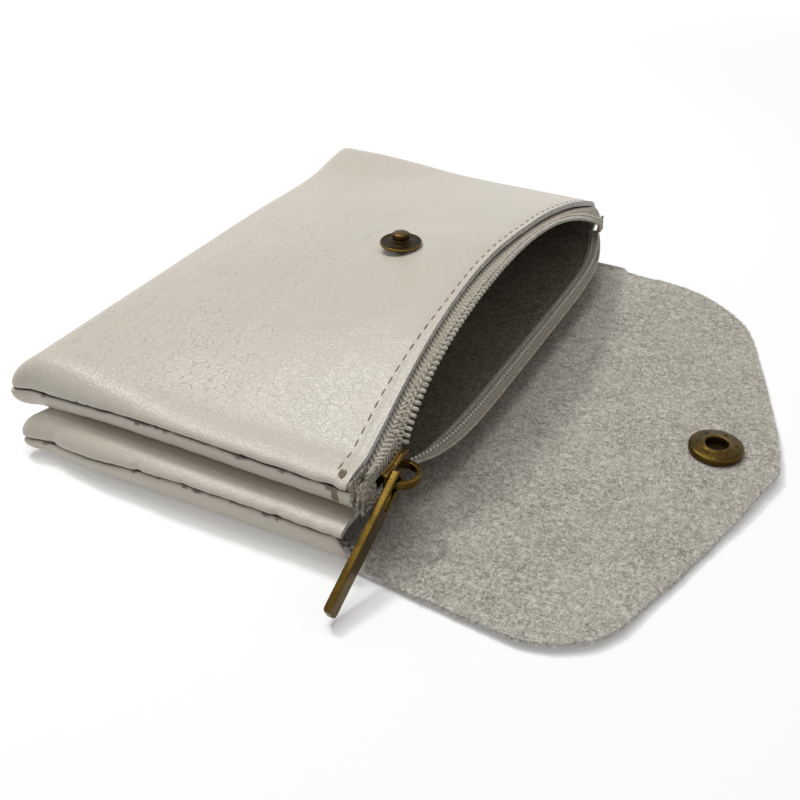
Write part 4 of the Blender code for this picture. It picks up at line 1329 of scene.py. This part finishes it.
fit_to_pouch(bar_tacks, "zip_tape")

# Tape ends: past the slider both tapes are folded together and sewn into the corner of the mouth,
# cut off raw and frayed. At the far end they are tucked in neatly.
END_COLUMNS = 16
END_ROWS = 66
END_THICKNESS = 0.42 * MM
END_REACH = 2.45 * MM
END_LIFT = 0.4 * MM
FRAY_COUNT = 420


def folded_end(low_y, high_y, folds, width, height, rough, seed):
    """A strip of cloth folded over itself several times across x, crumpled a little."""

    def place(column, row):
        y = low_y + (high_y - low_y) * column / END_COLUMNS
        turn = folds * row / END_ROWS
        swing = math.cos(math.pi * turn)
        x = MOUTH_X + END_REACH + width * (row / END_ROWS - 1.0)
        z = ZIP_SEAM + END_LIFT - height / 2 * math.copysign(abs(swing) ** 0.75, swing)
        crumple = rough * uneven(y * 2.0 + x, z, 2.6 * MM, seed)
        other = rough * uneven(z, x - y, 2.0 * MM, seed + 4.0)
        return x + 0.6 * crumple, y + other * (1.0 if column else 1.8), z + crumple

    return place


near_end = folded_end(-64.2 * MM, -58.8 * MM, 4.0, 3.6 * MM, 6.0 * MM, 0.70 * MM, 3.1)
far_end = folded_end(60.2 * MM, 63.0 * MM, 2.0, 1.1 * MM, 3.4 * MM, 0.15 * MM, 8.2)
for label, place in (("near", near_end), ("far", far_end)):
    end_piece = lay_sheet(f"tape_end_{label}_folded", END_COLUMNS, END_ROWS, place)
    mark_weave(end_piece, END_COLUMNS, END_ROWS)
    give_wall(end_piece, END_THICKNESS, (tape_weave, tape_weave, tape_weave), True)
    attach(end_piece, "pouch")
    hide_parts(f"tape_end_{label}")

chance = random.Random(21)
corners, faces = [], []
for _ in range(FRAY_COUNT):
    root = Vector(near_end(chance.uniform(0.0, 1.5), chance.uniform(0.0, END_ROWS)))
    lean = Vector((chance.gauss(0.25, 0.45), -1.0, chance.gauss(0.0, 0.5))).normalized()
    length, width = chance.uniform(0.4, 1.3) * MM, chance.uniform(0.07, 0.12) * MM
    spike(root, lean, length, width, corners, faces)
frayed_ends = fibre_piece("frayed_tape_end", corners, faces, loop_thread)
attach(frayed_ends, "pouch")

# Zip slider: a cast brass body of two plates, with flanges that guide the tapes and a wedge that
# parts the chains, and a flat crown over its face. Its antique finish is dark and rubbed bright.
SLIDER_Y = -54.2 * MM
SLIDER_HALF_LENGTH = 4.3 * MM
SLIDER_FRONT_HALF = 2.8 * MM
SLIDER_REAR_HALF = 2.2 * MM
SLIDER_CHANNEL_HALF = 0.9 * MM
SLIDER_PLATE = 1.0 * MM
SHOULDER_START = -0.6 * MM
SHOULDER_END = 2.2 * MM
FLANGE_END = 3.9 * MM
FLANGE_WIDTH = 0.6 * MM
WEDGE_START = 1.6 * MM
WEDGE_END = 4.1 * MM
WEDGE_HALF = 1.1 * MM
PULL_X = 42.55 * MM
CROWN_RADIUS = 3.1 * MM
CROWN_HALF_STRIP = 0.48 * MM
CROWN_HALF_WIDTH = 0.8 * MM
BRASS_DARK = (0.050, 0.029, 0.006)
BRASS_LIGHT = (0.115, 0.072, 0.015)
PATINA_DARK = (0.016, 0.012, 0.008)


def brass_wear_group():
    """A cloudy patina with fine specks, rubbed off along the edges."""
    group, given, end = new_group("brass_wear", ["Rubbed", "Specks", "Relief"], ["Pointiness"])
    patina = soft_step(group, noise_field(group, given["Vector"], 300.0, 3.0), 0.36, 0.66)
    specks = soft_step(group, noise_field(group, given["Vector"], 2600.0, 3.0), 0.38, 0.7)
    worn = maths(group, "ADD", maths(group, "MULTIPLY", patina, 0.5), maths(group, "MULTIPLY", specks, 0.2))
    edge = maths(group, "MULTIPLY", soft_step(group, given["Pointiness"], 0.51, 0.58), 0.7)
    connect(group, maths(group, "ADD", worn, edge), end["Rubbed"])
    connect(group, specks, end["Specks"])
    connect(group, noise_field(group, given["Vector"], 1400.0, 3.0), end["Relief"])
    return group


brass_wear = brass_wear_group()


def brass_material(name, dark, light, roughness):
    made, tree, shader, place = new_material(name, roughness)
    edge = tree.nodes.new("ShaderNodeNewGeometry").outputs["Pointiness"]
    wear = placed_group(tree, brass_wear, place, (edge,))
    connect(tree, mixed_colour(tree, wear["Rubbed"], dark, light), shader.inputs["Base Color"])
    shader.inputs["Metallic"].default_value = 1.0
    connect(tree, maths(tree, "MULTIPLY_ADD", wear["Specks"], 0.14, roughness), shader.inputs["Roughness"])
    relief(tree, shader, wear["Relief"], 0.00002)
    return made


antique_brass = brass_material("antique_brass_finish", BRASS_DARK, BRASS_LIGHT, 0.26)
dark_patina = brass_material("dark_patina", PATINA_DARK, BRASS_DARK, 0.5)


def rounded_outline(corners, radius):
    """The corners of a convex outline, each replaced by an arc."""
    outline = []
    count = len(corners)
    for index, (x, y) in enumerate(corners):
        here = Vector((x, y))
        before = (Vector(corners[index - 1]) - here).normalized()
        after = (Vector(corners[(index + 1) % count]) - here).normalized()
        half = before.angle(after) / 2
        middle = here + (before + after).normalized() * (radius / math.sin(half))
        start = (here + before * (radius / math.tan(half))) - middle
        end = (here + after * (radius / math.tan(half))) - middle
        for step in range(7):
            share = step / 6
            outline.append(middle + (start * (1.0 - share) + end * share).normalized() * radius)
    return outline


def stamped(name, outlines, half, edge, place, finish):
    """A flat piece of metal with rounded edges, from its outline and holes in its own plane."""
    curve = bpy.data.curves.new(name, "CURVE")
    curve.dimensions = "2D"
    curve.fill_mode = "BOTH"
    curve.extrude = half - edge
    curve.bevel_depth = edge
    curve.bevel_resolution = 2
    curve.offset = -edge
    for outline in outlines:
        spline = curve.splines.new("POLY")
        spline.points.add(len(outline) - 1)
        for point, (x, y) in zip(spline.points, outline):
            point.co = (x, y, 0.0, 1.0)
        spline.use_cyclic_u = True
    piece = new_object(name, curve)
    bpy.ops.object.select_all(action="DESELECT")
    piece.select_set(True)
    bpy.context.view_layer.objects.active = piece
    bpy.ops.object.convert(target="MESH")
    piece = closed_round(bpy.context.object)
    piece.data.transform(place)
    piece.data.materials.append(finish)
    return piece


def slider_frame(x):
    """Lays an outline in the slider's plane: its length along y and its width along z."""
    return standing((0.0, 1.0, 0.0), (0.0, 0.0, 1.0), (1.0, 0.0, 0.0), (x, SLIDER_Y, ZIP_SEAM))


def slider_part(name, outline, half, edge, x):
    return stamped(name, [outline], half, edge, slider_frame(x), antique_brass)


def both_sides(half_outline):
    """A closed outline from the corners of its upper half, given from one end to the other."""
    return [(x, -y) for x, y in half_outline] + half_outline[::-1]


body_outline = rounded_outline(both_sides([
    (-SLIDER_HALF_LENGTH, SLIDER_REAR_HALF), (SHOULDER_START, SLIDER_REAR_HALF),
    (SHOULDER_END, SLIDER_FRONT_HALF), (SLIDER_HALF_LENGTH, SLIDER_FRONT_HALF * 0.94),
]), 0.42 * MM)
slider_parts = []
for side in (-1.0, 1.0):
    plate_x = CHAIN_X + side * (SLIDER_CHANNEL_HALF + SLIDER_PLATE / 2)
    slider_parts.append(slider_part("slider_plate", body_outline, SLIDER_PLATE / 2, 0.34 * MM, plate_x))
    flange_x = CHAIN_X + side * (SLIDER_CHANNEL_HALF - 0.15 * MM)
    for edge in (-1.0, 1.0):
        rear, front = edge * SLIDER_REAR_HALF, edge * SLIDER_FRONT_HALF
        flange = [
            (-SLIDER_HALF_LENGTH + 0.15 * MM, rear), (SHOULDER_START, rear),
            (SHOULDER_END, front), (FLANGE_END, front * 0.95),
        ]
        inner = [(x, y - edge * FLANGE_WIDTH) for x, y in flange]
        ring = flange + inner[::-1] if edge < 0 else inner + flange[::-1]
        slider_parts.append(slider_part("slider_flange", ring, 0.25 * MM, 0.08 * MM, flange_x))
wedge_corners = [(WEDGE_START, 0.0), (WEDGE_END, -WEDGE_HALF), (WEDGE_END, WEDGE_HALF)]
wedge = rounded_outline(wedge_corners, 0.2 * MM)
slider_parts.append(
    slider_part("slider_wedge", wedge, SLIDER_CHANNEL_HALF + 0.1 * MM, 0.05 * MM, CHAIN_X)
)
slider_body = joined_parts(slider_parts, "zip_slider_body", 40.0)
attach(slider_body, "slider")
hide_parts("zip_slider")

CROWN_FOOT = CHAIN_X + SLIDER_CHANNEL_HALF + SLIDER_PLATE - 0.1 * MM


def crown_line(radius):
    """One edge of the crown's strip: from the plate round the pull's eye and back to the plate."""
    turns = [math.radians(-90.0 + 180.0 * step / 20) for step in range(21)]
    arc = [(PULL_X + radius * math.cos(turn), radius * math.sin(turn)) for turn in turns]
    return [(CROWN_FOOT, -radius), *arc, (CROWN_FOOT, radius)]


outer_line = crown_line(CROWN_RADIUS + CROWN_HALF_STRIP)
inner_line = crown_line(CROWN_RADIUS - CROWN_HALF_STRIP)
crown = stamped(
    "slider_crown_strip", [outer_line + inner_line[::-1]], CROWN_HALF_WIDTH, 0.16 * MM,
    Matrix.Translation((0.0, SLIDER_Y, ZIP_SEAM)), antique_brass
)
crown = joined_parts([crown], "slider_crown_strip", 40.0)
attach(crown, "slider")
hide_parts("slider_crown")

# Zip pull: a plain brass bar with a slot at its top that hangs on the crown.
PULL_REACH = 25.8 * MM
PULL_EYE_END = 2.3 * MM
PULL_HALF_WIDTH = 1.85 * MM
PULL_HALF_THICKNESS = 0.72 * MM
PULL_SLOT_REACH = 5.3 * MM
PULL_SLOT_HALF = 1.02 * MM
PULL_SLOT_LOW = -1.48 * MM
PULL_CORNER = 0.9 * MM
PULL_SLOT_CORNER = 0.6 * MM
PULL_DROOP = math.radians(26.0)
bar_sides = both_sides([(-PULL_EYE_END, PULL_HALF_WIDTH), (PULL_REACH, PULL_HALF_WIDTH)])
bar_outline = rounded_outline(bar_sides, PULL_CORNER)
slot_sides = both_sides([(PULL_SLOT_LOW, PULL_SLOT_HALF), (PULL_SLOT_REACH, PULL_SLOT_HALF)])
slot_outline = rounded_outline(slot_sides, PULL_SLOT_CORNER)
droop_cos, droop_sin = math.cos(PULL_DROOP), math.sin(PULL_DROOP)
hang = standing(
    (0.0, -droop_cos, -droop_sin), (0.0, droop_sin, -droop_cos), (1.0, 0.0, 0.0),
    (PULL_X, SLIDER_Y - CROWN_RADIUS, ZIP_SEAM)
)
pull = stamped(
    "zip_pull_bar", [bar_outline, slot_outline], PULL_HALF_THICKNESS, 0.24 * MM, hang, antique_brass
)
pull = joined_parts([pull], "zip_pull_bar", 40.0)
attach(pull, "pull")
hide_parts("zip_pull")

# Snap: turned and stamped brass. The stud is riveted through the zip pouch's front leather, and the
# socket is held by the cap on the flap's grain side, with a split wire spring in its groove.
STUD_SEAT = 29.03 * MM
SOCKET_CENTRE = (88.27 * MM, -5.85 * MM, 2.7 * MM)
STUD_PROFILE = (
    (0.0, 0.0), (4.50, 0.0), (4.6, 0.12), (4.6, 0.42), (4.52, 0.52), (4.42, 0.55), (4.30, 0.50),
    (4.22, 0.38), (2.45, 0.36), (2.25, 0.46), (2.05, 0.72), (1.62, 0.82), (1.55, 0.92), (1.55, 1.05),
    (1.66, 1.16), (1.90, 1.28), (1.98, 1.45), (1.98, 2.05), (1.92, 2.28), (1.68, 2.50), (1.20, 2.64),
    (0.60, 2.70), (0.0, 2.70),
)
SOCKET_PROFILE = (
    (0.0, 0.0), (5.30, 0.0), (5.42, 0.06), (5.46, 0.20), (5.46, 1.10), (5.38, 1.25), (5.20, 1.36),
    (4.70, 1.54), (4.55, 1.58), (3.20, 1.58), (3.05, 1.64), (2.95, 1.76), (2.80, 1.82), (2.55, 1.82),
    (2.40, 1.76), (2.32, 1.64), (2.26, 1.30), (2.20, 0.80), (2.15, 0.20), (2.05, 0.10), (0.0, 0.10),
)
ROUND_STEPS = 112
SIGN_COUNT = 6
SIGN_RING = 3.88
SIGN_LEVEL = 1.58
SIGN_BAR = (0.95 * MM, 0.20 * MM, 0.05 * MM)


def turned_piece(name, profile, centre, finish):
    """A round piece turned from a profile of radii and heights in millimetres."""

    def place(column, row):
        radius, height = profile[row]
        angle = math.tau * column / ROUND_STEPS
        off = Vector((radius * math.cos(angle), radius * math.sin(angle), height)) * MM
        return Vector(centre) + off

    piece = closed_round(lay_sheet(name, ROUND_STEPS, len(profile) - 1, place))
    for side in (finish, dark_patina):
        piece.data.materials.append(side)
    return piece


def darkened(piece, centre, low_radius, high_radius, above, every=1):
    """Gives the dark finish to the hollows between two radii, or only to every so many faces."""
    for face in piece.data.polygons:
        off = face.center - Vector(centre)
        radius = math.hypot(off.x, off.y)
        turn = round(math.atan2(off.y, off.x) / math.tau * ROUND_STEPS - 0.5)
        if low_radius < radius < high_radius and off.z > above and turn % every == 0:
            face.material_index = 1


stud_centre = (*STUD_PLACE, STUD_SEAT)
stud = turned_piece("snap_stud_turned", STUD_PROFILE, stud_centre, antique_brass)
darkened(stud, stud_centre, 1.7 * MM, 4.28 * MM, 0.3 * MM)
stud = joined_parts([stud], "snap_stud_turned", 35.0)
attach(stud, "stud")
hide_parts("snap_stud")

socket = turned_piece("snap_socket_turned", SOCKET_PROFILE, SOCKET_CENTRE, antique_brass)
darkened(socket, SOCKET_CENTRE, 4.72 * MM, 5.20 * MM, 1.3 * MM, 2)
darkened(socket, SOCKET_CENTRE, -1.0, 2.30 * MM, 0.05 * MM)
marks = []
for index in range(SIGN_COUNT):
    angle = math.tau * (index + 0.25) / SIGN_COUNT
    off = Vector((SIGN_RING * math.cos(angle), SIGN_RING * math.sin(angle), SIGN_LEVEL)) * MM
    for turn in (0.0, math.pi / 2):
        bar = new_primitive(bpy.ops.mesh.primitive_cube_add, size=1.0, location=Vector(SOCKET_CENTRE) + off)
        mark = shaped_part(bar, antique_brass, SIGN_BAR, (0.0, 0.0, angle + turn + 0.5))
        mark.data.materials.append(dark_patina)
        for face in mark.data.polygons:
            face.material_index = 1
        marks.append(mark)
socket = joined_parts([socket, *marks], "snap_socket_turned", 35.0)
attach(socket, "flap")
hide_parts("snap_socket")

for label in ("stud_post", "socket_spring", "snap_cap"):
    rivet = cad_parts[label]
    rivet.data.materials.clear()
    rivet.data.materials.append(antique_brass)

# Stage: a pale table that runs out of the picture, under a large soft lamp overhead. A small lamp at
# the far left puts the glare on the leather and leaves the edges towards the camera in soft shade.
# Seen directly or in the metal, the table glows more the farther off it lies, and ends in plain white.
TABLE_SIZE = 6.0
TABLE_DROP = 0.2 * MM
GLOW_START = 0.22
GLOW_FULL = 0.90
NEAR_GLOW = 0.20
ADDED_GLOW = 0.85
SKY_LIGHT = 0.30
ADDED_SKY_SEEN = 0.70
table = new_primitive(bpy.ops.mesh.primitive_plane_add, size=TABLE_SIZE, location=(0.0, 0.0, -TABLE_DROP))
table.name = "table"
table_finish, table_tree, table_shader, table_place = new_material("pale_table", 1.0)
table_shader.inputs["Base Color"].default_value = (0.97, 0.97, 0.97, 1.0)
table_shader.inputs["Specular IOR Level"].default_value = 0.0
table_shader.inputs["Emission Color"].default_value = (1.0, 1.0, 1.0, 1.0)


def shown_directly(tree):
    """1 for rays from the camera, or by way of metal or glass, that show the background itself."""
    kinds = tree.nodes.new("ShaderNodeLightPath").outputs
    mirrored = maths(tree, "MAXIMUM", kinds["Is Glossy Ray"], kinds["Is Transmission Ray"])
    return maths(tree, "MAXIMUM", kinds["Is Camera Ray"], mirrored)


outward = table_tree.nodes.new("ShaderNodeVectorMath")
outward.operation = "LENGTH"
connect(table_tree, table_place, outward.inputs[0])
far_off = soft_step(table_tree, outward.outputs["Value"], GLOW_START, GLOW_FULL)
shown_glow = maths(table_tree, "MULTIPLY_ADD", far_off, ADDED_GLOW, NEAR_GLOW)
glow = maths(table_tree, "MULTIPLY", shown_directly(table_tree), shown_glow)
connect(table_tree, glow, table_shader.inputs["Emission Strength"])
table.data.materials.append(table_finish)

world = bpy.data.worlds.new("studio")
bpy.context.scene.world = world
world.use_nodes = True
sky_tree = world.node_tree
sky = sky_tree.nodes["Background"]
sky.inputs["Color"].default_value = (1.0, 1.0, 1.0, 1.0)
level = maths(sky_tree, "MULTIPLY_ADD", shown_directly(sky_tree), ADDED_SKY_SEEN, SKY_LIGHT)
connect(sky_tree, level, sky.inputs["Strength"])


def area_lamp(name, place, target, size, power):
    """A square lamp that shines from its place towards a target."""
    lamp = bpy.data.lights.new(name, "AREA")
    lamp.shape = "RECTANGLE"
    lamp.size = lamp.size_y = size
    lamp.energy = power
    item = new_object(name, lamp)
    item.location = place
    item.rotation_euler = (Vector(target) - Vector(place)).to_track_quat("-Z", "Y").to_euler()


area_lamp("softbox", (-0.08, 0.03, 0.78), (0.02, 0.0, 0.0), 0.42, 1.85)
area_lamp("small_lamp", (-0.355, 0.115, 0.730), (0.025, -0.050, 0.020), 0.13, 2.2)

camera_data = bpy.data.cameras.new("camera")
camera_data.lens = 47.6
camera_data.sensor_width = 36.0
camera = new_object("camera", camera_data)
camera.location = (0.1110, -0.1854, 0.1310)
camera.rotation_euler = Vector((-0.3835, 0.7305, -0.5650)).to_track_quat("-Z", "Y").to_euler()
bpy.context.scene.camera = camera
bpy.context.scene.view_settings.view_transform = "Standard"
